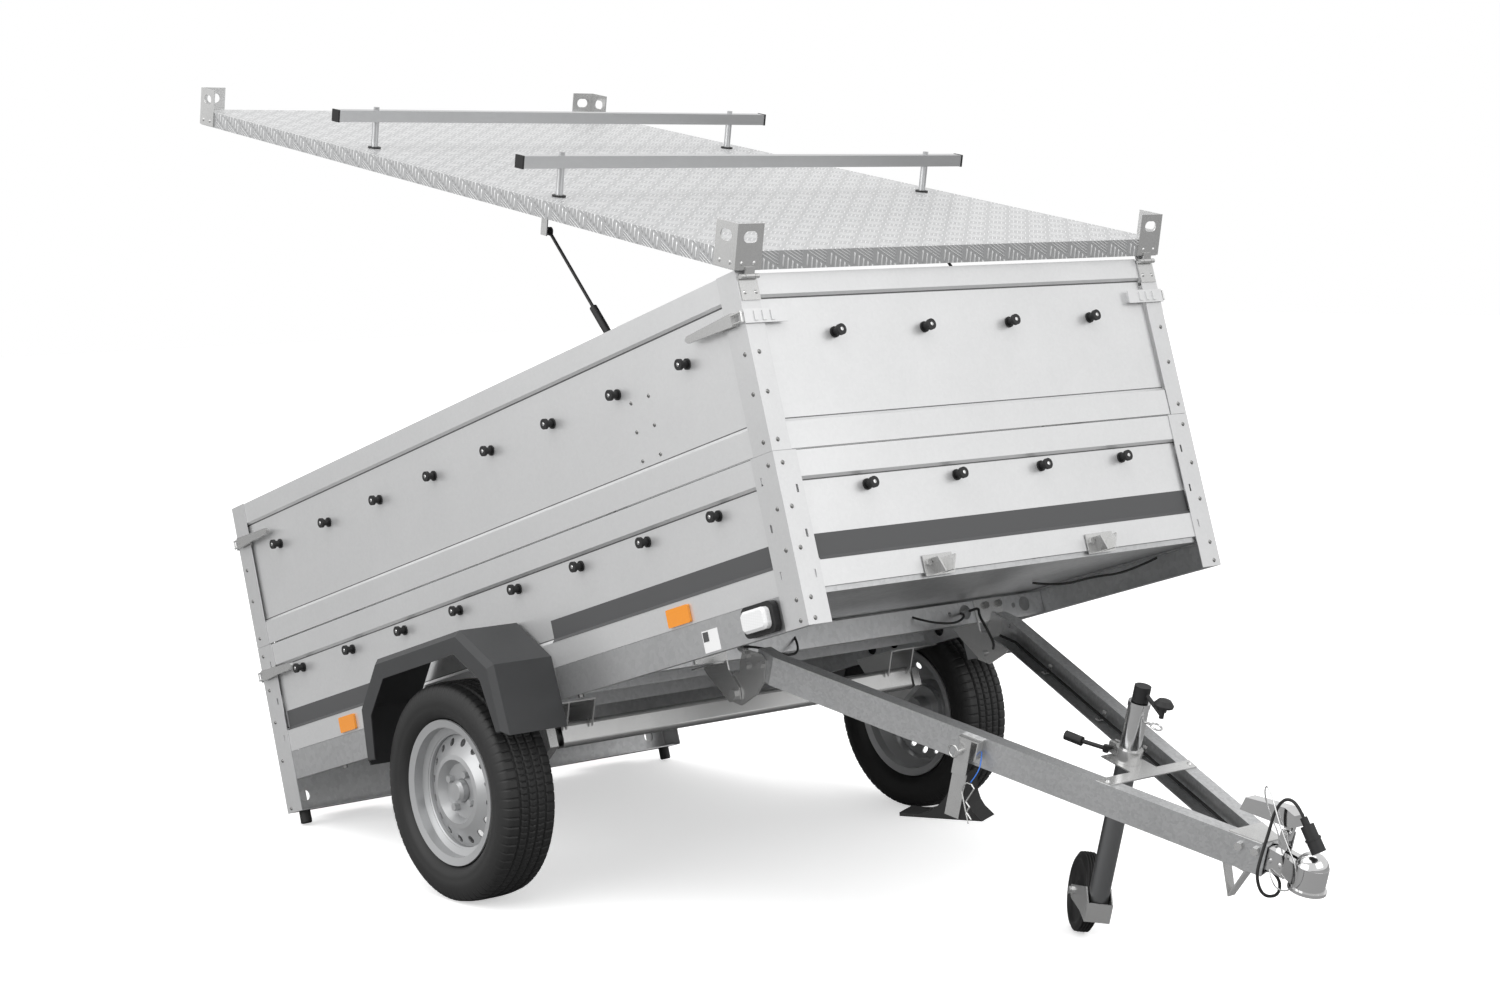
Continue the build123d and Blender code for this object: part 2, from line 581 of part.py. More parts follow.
def cord_tube(points, radius):
    """Straight runs joined by arcs as large as their two runs allow."""
    vectors = [Vector(*p) for p in points]
    radii = []
    for a, b, c in zip(vectors, vectors[1:], vectors[2:]):
        turn = math.radians((b - a).get_angle(c - b))
        radii.append(0.45 * min((b - a).length, (c - b).length) / math.tan(turn / 2))
    path = FilletPolyline(*points, radius=radii)
    start = Plane(origin=points[0], z_dir=(vectors[1] - vectors[0]).normalized())
    tube = sweep(start * Circle(radius), path=path)
    print("cord radii", [round(r, 1) for r in radii], "length", round(path.length, 1),
          "volume ratio", round(tube.volume / (math.pi * radius ** 2 * path.length), 4))
    return tube


keep("beam_cable_loop", "box", cord_tube(loom_route, CABLE_R))


# ---- opening flaps -------------------------------------------------------------------------
def strap(at_front, side, z):
    """Embossed catch plate riveted to an end flap, reaching out past the post."""
    x = 2.6 if at_front else rear - 2.6
    out = 1 if at_front else -1
    y0, y1 = sorted((side * (half - 118), side * (half + 4)))
    plate = block(x, x + out * 3, y0, y1, z - 16, z + 16)
    for k in range(3):
        y = side * (half - 28 - 24 * k)
        plate += block(x + out * 3, x + out * 6, y - 5, y + 5, z - 11, z + 11)
    seat = POST_SHEET + 0.5 + FIELD_DEPTH
    leg = block(x, -seat if at_front else rear + seat,
                side * (half - 112), side * (half - 84), z - 12, z + 12)
    return plate + leg


LATCH_Z = 690
LOW_LATCH_Z = 306
keep("front_flap", "front", front_flap, [strap(True, s, LATCH_Z) for s in (-1, 1)])
keep("front_flap_knobs", "front",
     [knob((field_x, y, UPPER_KNOB_Z), (1, 0, 0)) for y in END_KNOB_Y])
keep("rear_flap", "rear_upper", rear_flap, [strap(False, s, LATCH_Z) for s in (-1, 1)])
keep("tailgate", "rear_lower", tail_flap, [strap(False, s, LOW_LATCH_Z) for s in (-1, 1)])

LEVER_REACH = 165


def latch(at_front, side, z):
    """Over-centre lever with its wire loop, lying along the box side."""
    corner = 0 if at_front else rear
    back = -1 if at_front else 1
    y0 = side * (half + 7)
    y1 = side * (half + 17)
    x0 = corner + back * 26
    x1 = corner + back * (26 + LEVER_REACH)
    outline = [(x0, z - 15), (x0, z + 15), (x1, z + 8), (x1 + back * 8, z), (x1, z - 8)]
    lever = side_plate(outline, min(y0, y1), max(y0, y1))
    channel = [(x0 + back * 4, z - 11), (x0 + back * 4, z + 11), (x1 - back * 8, z + 5),
               (x1 - back * 8, z - 5)]
    y_in = side * (half + 13.5)
    lever -= side_plate(channel, min(side * (half + 6), y_in), max(side * (half + 6), y_in))
    wires = []
    for dz in (-10, 10):
        wires.append(rod((x0 + back * 30, side * (half + 10), z + dz),
                         (corner - back * 3, side * (half + 10), z + dz), 2.5))
    hook = rod((corner - back * 3, side * (half + 10), z - 12.5),
               (corner - back * 3, side * (half + 10), z + 12.5), 2.5)
    for w in wires:
        lever += w
    return lever + hook


def latch_base(at_front, side, z):
    corner = 0 if at_front else rear
    back = -1 if at_front else 1
    base = block(corner + back * 30, corner + back * 78, side * (half + 0.2), side * (half + 3.5),
                 z - 16, z + 16)
    return base


latch_places = [("front", True, LATCH_Z), ("rear_upper", False, LATCH_Z),
                ("rear_lower", False, LOW_LATCH_Z)]
bases = []
for place, at_front, z in latch_places:
    for side_name, side in (("right", -1), ("left", 1)):
        keep(f"latch_{place}_{side_name}", "box", latch(at_front, side, z))
        bases.append(latch_base(at_front, side, z))


# ---- lid -----------------------------------------------------------------------------------
lid_x1 = LID_GAP + LID_SHEET
lid_x0 = lid_x1 - LID_LENGTH - 2 * LID_GAP
lid = block(lid_x0, lid_x1, -LID_HALF, LID_HALF, LID_TOP - LID_FLANGE, LID_TOP)
lid -= block(lid_x0 + LID_SHEET, lid_x1 - LID_SHEET, -LID_HALF + LID_SHEET, LID_HALF - LID_SHEET,
             LID_TOP - LID_FLANGE - 5, LID_TOP - LID_SHEET)
keep("lid_plate", "lid", lid)

EYE_TOP = LID_TOP + 62
eyes = []
for x, sx in ((lid_x1, -1), (lid_x0, 1)):
    for sy in (-1, 1):
        y = sy * LID_HALF
        leg_end = block(x, x - sx * 3, y, y - sy * 72, LID_TOP - LID_FLANGE + 2, EYE_TOP)
        leg_side = block(x - sx * 3, x + sx * 72, y, y + sy * 3, LID_TOP - LID_FLANGE + 2, EYE_TOP)
        far = block(x - sx * 3, x, y, y + sy * 3, LID_TOP - LID_FLANGE + 2, EYE_TOP)
        eye = leg_end + leg_side + far
        hole_z = EYE_TOP - 30
        for d in (-7, 7):
            eye -= rod((x - sx * 10, y - sy * 36 + d, hole_z), (x + sx * 10, y - sy * 36 + d, hole_z), 13)
            eye -= rod((x + sx * 36 + d, y - sy * 10, hole_z), (x + sx * 36 + d, y + sy * 10, hole_z), 13)
        eye -= block(x - sx * 10, x + sx * 10, y - sy * 36 - 7, y - sy * 36 + 7, hole_z - 13, hole_z + 13)
        eye -= block(x + sx * 36 - 7, x + sx * 36 + 7, y - sy * 10, y + sy * 10, hole_z - 13, hole_z + 13)
        for d in (16, 52):
            eye += dome((x - sx * 3, y - sy * d, LID_TOP - 26), (-sx, 0, 0), 5, 3)
            eye += dome((x + sx * d, y + sy * 3, LID_TOP - 26), (0, sy, 0), 5, 3)
        eyes.append(eye)

bar_bottom = LID_TOP + BAR_LIFT
bars = []
posts = []
trims = []
for x in BAR_X:
    bar = block(x - BAR_SIDE / 2, x + BAR_SIDE / 2, -BAR_HALF, BAR_HALF, bar_bottom,
                bar_bottom + BAR_SIDE)
    bar -= block(x - BAR_SIDE / 2 + 2, x + BAR_SIDE / 2 - 2, -BAR_HALF - 1, BAR_HALF + 1,
                 bar_bottom + 2, bar_bottom + BAR_SIDE - 2)
    bars.append(bar)
    for s in (-1, 1):
        y = s * BAR_POST_Y
        posts.append(rod((x, y, LID_TOP + 4), (x, y, bar_bottom), 9))
        posts.append(hex_head((x, y, bar_bottom + BAR_SIDE), (0, 0, 1), 13, 8))
        trims.append(rod((x, y, LID_TOP), (x, y, LID_TOP + 4), 17))
        cap = block(x - 16, x + 16, s * BAR_HALF, s * (BAR_HALF + 5), bar_bottom - 1,
                    bar_bottom + BAR_SIDE + 1)
        cap += block(x - 12.9, x + 12.9, s * (BAR_HALF - 14), s * BAR_HALF, bar_bottom + 2.1,
                     bar_bottom + BAR_SIDE - 2.1)
        trims.append(cap)
keep("roof_bars", "lid", bars, posts)
keep("roof_bar_trims", "lid", trims)

HINGE_R = 5.5
hinge_leaves = []
hinge_flaps = []
for s in (-1, 1):
    y = s * (half - 30)
    leaf = block(0.2, 3, y - 26, y + 26, 726, HINGE_Z + 3)
    leaf += rod((HINGE_X, y - 26, HINGE_Z), (HINGE_X, y + 26, HINGE_Z), 2.8)
    for d in (-20, 20):
        leaf += rod((HINGE_X, y + d - 6, HINGE_Z), (HINGE_X, y + d + 6, HINGE_Z), HINGE_R)
        leaf += block(0.2, HINGE_X, y + d - 6, y + d + 6, HINGE_Z - 3, HINGE_Z + 3)
    leaf += dome((3, y - 16, 744), (1, 0, 0), 5, 4)
    leaf += dome((3, y + 16, 744), (1, 0, 0), 5, 4)
    hinge_leaves.append(leaf)
    knuckle = pipe((HINGE_X, y - 13, HINGE_Z), (HINGE_X, y + 13, HINGE_Z), HINGE_R, 2.85)
    wing = block(HINGE_X - 2, HINGE_X + 2, y - 13, y + 13, HINGE_Z + 5, LID_TOP - 34)
    wing += block(lid_x1 + 3.3, HINGE_X + 2, y - 13, y + 13, LID_TOP - LID_FLANGE + 2.5,
                  LID_TOP - 34)
    hinge_flaps.append(knuckle + wing)

# ---- gas struts ----------------------------------------------------------------------------
raised = math.radians(LID_ANGLE)
stud_x = HINGE_X - STUD_S * math.cos(raised) + STUD_DROP * math.sin(raised)
stud_z = HINGE_Z + STUD_S * math.sin(raised) + STUD_DROP * math.cos(raised)
strut_run = Vector(stud_x - STRUT_X, 0, stud_z - STRUT_Z)
strut_dir = strut_run.normalized()


def on_strut(distance, y):
    p = Vector(STRUT_X, y, STRUT_Z) + strut_dir * distance
    return (p.X, p.Y, p.Z)


ROD_R = 4
BODY_R = 9.5
strut_cylinder = pipe(on_strut(22, -STRUT_Y), on_strut(CYLINDER_LENGTH, -STRUT_Y), BODY_R, ROD_R + FIT)
strut_cylinder -= rod(on_strut(30, -STRUT_Y), on_strut(CYLINDER_LENGTH - 12, -STRUT_Y), BODY_R - 1.5)
low_eye = rod((STRUT_X, -STRUT_Y - 5, STRUT_Z), (STRUT_X, -STRUT_Y + 5, STRUT_Z), 10)
low_eye += rod(on_strut(5, -STRUT_Y), on_strut(23, -STRUT_Y), 7)
low_eye -= rod((STRUT_X, -STRUT_Y - 9, STRUT_Z), (STRUT_X, -STRUT_Y + 9, STRUT_Z), 4 + 0.05)
strut_cylinder += low_eye
reach = strut_run.length
strut_rod = rod(on_strut(CYLINDER_LENGTH - 150, -STRUT_Y), on_strut(reach - 8, -STRUT_Y), ROD_R)
strut_rod += rod(on_strut(CYLINDER_LENGTH - 158, -STRUT_Y), on_strut(CYLINDER_LENGTH - 150, -STRUT_Y),
                 BODY_R - 1.5 - FIT)
top_eye = rod(on_strut(reach - 10, -STRUT_Y), on_strut(reach, -STRUT_Y), 6)
top_eye += rod((stud_x, -STRUT_Y - 5, stud_z), (stud_x, -STRUT_Y + 5, stud_z), 10)
strut_rod += top_eye
keep("strut_cylinder_right", "box", strut_cylinder)
keep("strut_cylinder_left", "box", mirrored(strut_cylinder))
keep("strut_rod_right", "box", strut_rod)
keep("strut_rod_left", "box", mirrored(strut_rod))
mount_plate = block(STRUT_X - 70, STRUT_X + 60, -half + 14, -half + 17, STRUT_Z - 45, STRUT_Z + 125)
mount_pin = rod((STRUT_X, -half + 17, STRUT_Z), (STRUT_X, -STRUT_Y + 6, STRUT_Z), 4)
keep("box_fittings", "box", both(mount_plate + mount_pin), hinge_leaves, bases, hooks)
stud_level_x = HINGE_X - STUD_S
stud_level_z = HINGE_Z + STUD_DROP
SIDE_GAP = 2.5
lid_stud = block(stud_level_x - 20, stud_level_x + 20, -LID_HALF + 12, -STRUT_Y - 5 - SIDE_GAP - 6,
                 LID_TOP - LID_SHEET - 3, LID_TOP - LID_SHEET)
lid_stud += block(stud_level_x - 12, stud_level_x + 12, -STRUT_Y - 5 - SIDE_GAP - 9,
                  -STRUT_Y - 5 - SIDE_GAP - 6, stud_level_z - 10, LID_TOP - LID_SHEET)
lid_stud += rod((stud_level_x, -STRUT_Y - 5 - SIDE_GAP - 6, stud_level_z),
                (stud_level_x, -STRUT_Y - 5 - SIDE_GAP, stud_level_z), 5)
keep("lid_fittings", "lid", both(lid_stud), eyes, hinge_flaps)


# ---- drawbar -------------------------------------------------------------------------------
arm_low = ARM_TOP - ARM_HEIGHT
arm_path = [(ARM_REAR_X, -ARM_REAR_Y), (ARM_KINK_X, -ARM_REAR_Y), (NOSE_X, -NOSE_Y)]
arm = strip(arm_path, 0, ARM_SHEET, arm_low, ARM_TOP)
arm_plan = strip(arm_path, 0, ARM_FLANGE, ARM_TOP - ARM_SHEET, ARM_TOP)
arm_foot = strip(arm_path, 0, ARM_FLANGE, arm_low, arm_low + ARM_SHEET)
arm = arm + arm_plan + arm_foot
arm -= block(ARM_REAR_X - 500, NOSE_X + 200, -0.5, 200, arm_low - 5, ARM_TOP + 5)
BOLTS = ((-603, 27), (-595, 2), (-546, 24))
arm -= rod((-546, -ARM_REAR_Y - 5, 24), (-546, -ARM_REAR_Y + 9, 24), 5)
keep("drawbar_arms", "drawbar", both(arm))

hinge_plate = side_plate([(-618, 36), (-552, 49), (-534, 39), (-528, -14), (-545, -52), (-592, -100),
                          (-634, -104), (-642, -72), (-636, -30), (-618, -24), (-622, 0)],
                         -plate_y - PLATE, -plate_y)
hinge_plate -= rod((PIVOT_X, -plate_y - 9, PIVOT_Z), (PIVOT_X, -plate_y + 9, PIVOT_Z),
                   PIVOT_BOLT / 2 + 0.05)
plate_heads = []
for x, z in BOLTS:
    plate_heads += both(hex_head((x, -plate_y - PLATE, z), (0, -1, 0), 16, 8))


def arm_inside(x):
    """How far the arm's outer face stands from the middle, at X = x."""
    share = (x - ARM_KINK_X) / (NOSE_X - ARM_KINK_X)
    return ARM_REAR_Y + (NOSE_Y - ARM_REAR_Y) * share


cross = prism([(298, -arm_inside(298) + 2, ARM_TOP), (332, -arm_inside(332) + 2, ARM_TOP),
               (332, arm_inside(332) - 2, ARM_TOP), (298, arm_inside(298) - 2, ARM_TOP)], (0, 0, 3))
tongue = block(206, 300, -42, 42, ARM_TOP, ARM_TOP + 3)
cross += tongue
cross -= rod((JOCKEY_X, 0, ARM_TOP - 5), (JOCKEY_X, 0, ARM_TOP + 8), JOCKEY_TUBE / 2 + 1)
gusset = prism([(602, -arm_inside(602) + 2, ARM_TOP), (NOSE_X - 14, -NOSE_Y - 1, ARM_TOP),
                (NOSE_X - 14, NOSE_Y + 1, ARM_TOP), (602, arm_inside(602) - 2, ARM_TOP)], (0, 0, 3))
skid_path = [(560, arm_low - 0.2), (605, -108), (644, arm_low - 0.2)]
skid_inner = [(566, arm_low - 0.2), (605, -101), (638, arm_low - 0.2)]
skid = side_plate(skid_path, -12, 12) - side_plate(skid_inner, -13, 13)
skid += block(548, 656, -40, 40, arm_low - 4, arm_low - 0.2)
nose_bolts = []
splay = math.atan2(ARM_REAR_Y - NOSE_Y, NOSE_X - ARM_KINK_X)
for x, z in ((632, 34), (668, 36)):
    point = (x, -arm_inside(x) - 0.3, z)
    nose_bolts += both(hex_head(point, (math.sin(splay), -math.cos(splay), 0), 17, 9))
for s in (-1, 1):
    nose_bolts.append(dome((315, s * (arm_inside(315) - 14), ARM_TOP + 3), (0, 0, 1), 6, 4))

# coupling head
tail = block(620, 742, -24, 24, 2, 50) - block(610, 735, -21, 21, -2, 47)
cup = Solid.make_cylinder(37, 50, Plane(origin=(790, 0, 2), z_dir=(0, 0, 1)))
cup += Solid.make_sphere(37, Plane(origin=(790, 0, 44), z_dir=(0, 0, 1)))
cup += Solid.make_cylinder(42, 7, Plane(origin=(790, 0, -5), z_dir=(0, 0, 1)))
neck = prism([(735, -24, 6), (790, -37, 6), (790, 37, 6), (735, 24, 6)], (0, 0, 44))
coupling = tail + neck + cup
coupling -= Solid.make_sphere(BALL / 2 + 0.5, Plane(origin=(790, 0, 24), z_dir=(0, 0, 1)))
coupling -= Solid.make_cylinder(BALL / 2 + 0.5, 40, Plane(origin=(790, 0, -16), z_dir=(0, 0, 1)))
coupling -= block(690, 760, -6, 6, 40, 90)
for x in (700, 726):
    for s in (-1, 1):
        coupling += dome((x, s * 24, 26), (0, s, 0), 6, 4)
handle_cheeks = [block(700, 724, s * 7, s * 11, 50, 98) for s in (-1, 1)]
for cheek in handle_cheeks:
    coupling += cheek
HANDLE_X = 712
HANDLE_Z = 88
coupling += rod((HANDLE_X, -13, HANDLE_Z), (HANDLE_X, 13, HANDLE_Z), 5)
keep("coupling_head", "drawbar", coupling)
grip_shape = [(588, 94), (596, 126), (700, 148), (728, 142), (734, 116), (716, 110), (640, 100)]
handle = side_plate(grip_shape, -16, 16) - side_plate(
    [(582, 80), (602, 112), (700, 136), (722, 134), (740, 100), (716, 90)], -13.5, 13.5)
boss = side_plate([(702, 78), (722, 78), (728, 138), (700, 138)], -5.5, 5.5)
handle = handle + boss
handle += block(698, 730, -16, 16, 136, 142)
handle -= rod((HANDLE_X, -20, HANDLE_Z), (HANDLE_X, 20, HANDLE_Z), 5.05)
keep("coupling_handle", "drawbar", handle)

# jockey wheel
tube_r = JOCKEY_TUBE / 2
inner_r = JOCKEY_INNER / 2
clamp_ring = pipe((JOCKEY_X, 0, ARM_TOP + 3.2), (JOCKEY_X, 0, ARM_TOP + 34), tube_r + 7, tube_r + FIT)
lug_x = JOCKEY_X - tube_r - 4
clamp_lugs = [block(lug_x - 24, lug_x, s * 4, s * 12, ARM_TOP + 6, ARM_TOP + 32) for s in (-1, 1)]
clamp_ring -= block(lug_x - 10, JOCKEY_X - 10, -3.5, 3.5, ARM_TOP, ARM_TOP + 40)
for lug in clamp_lugs:
    clamp_ring += lug
clamp_screw_x = lug_x - 14
clamp_z = ARM_TOP + 19
clamp_ring -= rod((clamp_screw_x, -20, clamp_z), (clamp_screw_x, 20, clamp_z), 5.05)
keep("drawbar_cross_pieces", "drawbar", cross, gusset, skid, nose_bolts, clamp_ring)
lever = rod((clamp_screw_x, -30, clamp_z), (clamp_screw_x, 15, clamp_z), 5)
lever += rod((clamp_screw_x, -30, clamp_z), (138, -52, clamp_z - 4), 5)
lever += rod((clamp_screw_x, -30, clamp_z - 8), (clamp_screw_x, -30, clamp_z + 8), 7)
lever += rod((150, -49, clamp_z - 4), (108, -60, clamp_z - 4), 11)
keep("clamp_lever", "drawbar", lever)

# The leg's wheel stands on the ground below the dropped drawbar, leaning with it.
lean = drop - tip
camber = math.asin(math.sin(math.radians(-JOCKEY_TURN)) * math.sin(lean))
EDGE = 8
wheel_height = ((JOCKEY_WHEEL_R - EDGE) * math.cos(camber)
                + (JOCKEY_WHEEL_W / 2 - EDGE) * math.sin(camber) + EDGE)
pivot_height = math.sin(tip) * PIVOT_X + math.cos(tip) * PIVOT_Z - ground_level
reach_x = JOCKEY_X - JOCKEY_TRAIL * math.cos(math.radians(JOCKEY_TURN)) - PIVOT_X
axle_z = PIVOT_Z + (wheel_height - pivot_height + math.sin(lean) * reach_x) / math.cos(lean)
axle_x = JOCKEY_X - JOCKEY_TRAIL
print("jockey axle height", round(axle_z, 2))
outer_tube = pipe((JOCKEY_X, 0, JOCKEY_LOW), (JOCKEY_X, 0, 190), tube_r, inner_r + FIT)
outer_tube += pipe((JOCKEY_X, 0, 190), (JOCKEY_X, 0, 202), tube_r + 1.5, 8.3)
ring_pin = rod((JOCKEY_X + tube_r - 1, 0, 162), (JOCKEY_X + 46, 0, 166), 3)
ring = Solid.make_torus(13, 2.5, Plane(origin=(JOCKEY_X + 60, 0, 166), z_dir=(0.2, 0, 1)))
outer_tube += ring_pin + ring
keep("jockey_outer_tube", "drawbar", outer_tube)
inner_foot = JOCKEY_LOW - 4
inner_tube = pipe((JOCKEY_X, 0, inner_foot), (JOCKEY_X, 0, 120), inner_r, 9)
keep("jockey_inner_tube", "drawbar", inner_tube)
crank = rod((JOCKEY_X, 0, -60), (JOCKEY_X, 0, 206), 8)
crank += rod((JOCKEY_X, 0, 203), (JOCKEY_X, 0, 240), 19)
crank += rod((JOCKEY_X + 10, 0, 226), (JOCKEY_X + 68, 0, 197), 5)
KNOB_X = JOCKEY_X + 68
crank += rod((KNOB_X, 0, 190), (KNOB_X, 0, 216), 5.5)
knob_profile = [(0, 206), (9, 206), (9, 216), (22, 218), (23, 223), (15, 233), (0, 237)]
knob_face = Face(Wire.make_polygon([Vector(KNOB_X + r, 0, z) for r, z in knob_profile]))
crank += Solid.revolve(knob_face, 360, Axis((KNOB_X, 0, 0), (0, 0, 1)))
keep("jockey_crank", "drawbar", crank)
FORK_Y = JOCKEY_TUBE / 2 + 3     # inside of each fork cheek
swivel = Axis((JOCKEY_X, 0, 0), (0, 0, 1))
fork = block(JOCKEY_X - 26, JOCKEY_X + 30, -FORK_Y - 3, FORK_Y + 3, inner_foot - 4.5, inner_foot - 0.5)
fork += block(JOCKEY_X + FORK_Y, JOCKEY_X + FORK_Y + 3, -FORK_Y - 3, FORK_Y + 3, inner_foot - 4.5, inner_foot + 42)
for s in (-1, 1):
    fork += side_plate([(JOCKEY_X + 30, inner_foot - 4.5), (JOCKEY_X + 30, inner_foot + 42),
                        (JOCKEY_X - 10, inner_foot + 64), (axle_x + 4, axle_z + 17),
                        (axle_x - 13, axle_z + 10), (axle_x - 13, axle_z - 10),
                        (axle_x + 8, axle_z - 16), (JOCKEY_X - 26, inner_foot - 4.5)],
                       s * FORK_Y, s * (FORK_Y + 3))
fork += rod((axle_x, -FORK_Y - 9, axle_z), (axle_x, FORK_Y + 9, axle_z), 6)
for s in (-1, 1):
    fork += hex_head((axle_x, s * (FORK_Y + 3), axle_z), (0, s, 0), 17, 7)
keep("jockey_fork", "drawbar", fork.rotate(swivel, JOCKEY_TURN))
small_wheel = rod((axle_x, -JOCKEY_WHEEL_W / 2, axle_z), (axle_x, JOCKEY_WHEEL_W / 2, axle_z),
                  JOCKEY_WHEEL_R)
small_wheel = fillet(small_wheel.edges(), EDGE)
small_wheel -= rod((axle_x, -JOCKEY_WHEEL_W, axle_z), (axle_x, JOCKEY_WHEEL_W, axle_z), 6.06)
keep("jockey_wheel", "drawbar", small_wheel.rotate(swivel, JOCKEY_TURN))


# ---- cable, plug and breakaway cable at the nose ------------------------------------------
arm_cable_route = [(-552, 388, -2), (-500, 390, 0), (300, 138, 0), (600, 44, 0)]
arm_cable = rod(arm_cable_route[1], arm_cable_route[2], CABLE_R)
arm_cable += rod(arm_cable_route[0], arm_cable_route[1], CABLE_R)
arm_cable += rod(arm_cable_route[2], arm_cable_route[3], CABLE_R)
arm_clips = []
for x in (-330, -60, 130):
    y = arm_inside(x) - ARM_SHEET
    clip = block(x - 6, x + 6, y - 26, y - 2.6, -8, -5) + block(x - 6, x + 6, y - 4.6, y - 2.6, -8, 14)
    arm_clips.append(clip)
keep("drawbar_cable", "drawbar", arm_cable)
keep("hinge_plates", "drawbar", both(hinge_plate), plate_heads, arm_clips)

PLUG_CABLE_ROUTE = [(650, 8, -6), (708, 8, -8), (738, -14, -40), (726, -56, -42), (708, -72, 0),
                    (700, -58, 48), (694, -42, 94), (690, -34, 138), (702, -26, 174),
                    (734, -24, 176), (757, -24, 153)]
keep("plug_cable", "drawbar", cord_tube(PLUG_CABLE_ROUTE, CABLE_R))
plug_start = Vector(*PLUG_CABLE_ROUTE[-1])
plug_dir = Vector(0.69, 0.06, -0.72).normalized()


def along_plug(distance):
    return tuple(plug_start + plug_dir * distance)


plug = rod(along_plug(0.3), along_plug(20), 8)
plug += rod(along_plug(18), along_plug(46), 15)
plug += rod(along_plug(46), along_plug(52), 17.5)
plug += rod(along_plug(52), along_plug(80), 16)
keep("trailer_plug", "drawbar", plug)

BREAKAWAY_ROUTE = [(724, -20, 52), (710, -27, 92), (676, -29, 126), (654, -34, 164),
                   (666, -50, 194), (696, -60, 178), (724, -62, 138), (756, -60, 98),
                   (790, -57, 62), (800, -55, 20), (772, -51, -10), (734, -45, -12),
                   (706, -27.5, 8)]
keep("breakaway_cable", "drawbar", cord_tube(BREAKAWAY_ROUTE, 1.6))


# ---- wheel chock on the right drawbar arm --------------------------------------------------
CHOCK_X = 8
face_y = -arm_inside(CHOCK_X)
turn_axis = Axis((CHOCK_X, face_y, 0), (0, 0, 1))
holder = block(-20, 32, face_y - 3.2, face_y - 0.2, -8, 50)
holder += block(-20, 32, face_y - 28, face_y - 0.2, 47, 50)
holder += block(29, 32, face_y - 28, face_y - 0.2, 8, 50)
holder += block(-14, 14, face_y - 28, face_y - 25, -2, 50)
pin = rod((-6, face_y - 44, 18), (-6, face_y - 3, 18), 4)
pin_ring = Solid.make_torus(14, 2.2, Plane(origin=(-20, face_y - 40, 16), z_dir=(0.3, 1, 0.1)))
holder = holder + pin + pin_ring

CHOCK_WIDTH = 60
CHOCK_NEAR = face_y - 8
chock_points = [(-138, -200), (-140, -191)]
for i in range(7):
    a = math.radians(8 + 12.5 * i)
    chock_points.append((-125 + 105 * math.sin(a), -45 - 140 * math.cos(a)))
chock_points += [(6, -40)]
for i in range(5):
    a = math.radians(16 * i)
    chock_points.append((66 - 58 * math.cos(a), -54 - 76 * math.sin(a)))
chock_points += [(68, -135)]
chock = side_plate(chock_points, CHOCK_NEAR, CHOCK_NEAR + CHOCK_WIDTH)
chock_strap = block(-26, 10, CHOCK_NEAR - 3.4, CHOCK_NEAR - 0.2, -150, -42)
chock_strap += block(-26, 10, CHOCK_NEAR - 10, CHOCK_NEAR - 0.2, -45, -42)
chock_strap += block(-26, 10, CHOCK_NEAR - 10, CHOCK_NEAR - 7, -45, 12)
keep("chock_holder", "drawbar", holder.rotate(turn_axis, math.degrees(splay)),
     chock_strap.rotate(turn_axis, math.degrees(splay)))
keep("wheel_chock", "drawbar", chock.rotate(turn_axis, math.degrees(splay)))

CLIP_Y = face_y - 26
clip_points = [(61, -138), (22, -74), (24, -58), (34, -48), (48, -46), (58, -52), (41, -92),
               (55, -99), (48, -114), (66, -124)]
clip = None
for a, b in zip(clip_points, clip_points[1:]):
    piece = rod((a[0], CLIP_Y, a[1]), (b[0], CLIP_Y, b[1]), 1.8)
    piece += Solid.make_sphere(1.8, Plane(origin=(b[0], CLIP_Y, b[1])))
    clip = piece if clip is None else clip + piece
keep("spring_clip", "drawbar", clip)
TETHER_ROUTE = [(34, face_y + 2, 24), (50, face_y - 10, 6), (54, face_y - 20, -18),
                (44, face_y - 25.5, -42.5)]
keep("clip_tether", "drawbar", cord_tube(TETHER_ROUTE, 1.3))


# ---- raise the lid, drop the drawbar, tip the box and stand it on the ground ---------------
hinge_line = Axis((HINGE_X, 0, HINGE_Z), (0, 1, 0))
pivot_line = Axis((PIVOT_X, 0, PIVOT_Z), (0, 1, 0))
world_line = Axis((0, 0, 0), (0, 1, 0))
placed = {}
for name, (frame, shape) in nodes.items():
    if frame == "lid":
        shape = shape.rotate(hinge_line, LID_ANGLE)
    if frame == "drawbar":
        shape = shape.rotate(pivot_line, DRAWBAR_ANGLE)
    placed[name] = shape.rotate(world_line, -TIP_ANGLE)

cords = ("plug_cable", "trailer_plug", "breakaway_cable", "clip_tether", "spring_clip")
boxes = [shape.bounding_box() for name, shape in placed.items() if name not in cords]
middle_x = (min(b.min.X for b in boxes) + max(b.max.X for b in boxes)) / 2
middle_y = (min(b.min.Y for b in boxes) + max(b.max.Y for b in boxes)) / 2
settle = Pos(-middle_x, -middle_y, -ground_level)

os.makedirs("parts", exist_ok=True)
for name, shape in placed.items():
    export_step(settle * shape, f"parts/{name}.step")
print("nodes", len(placed), "moved by", round(-middle_x, 4), round(-middle_y, 4),
      round(-ground_level, 4))
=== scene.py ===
import json
import math

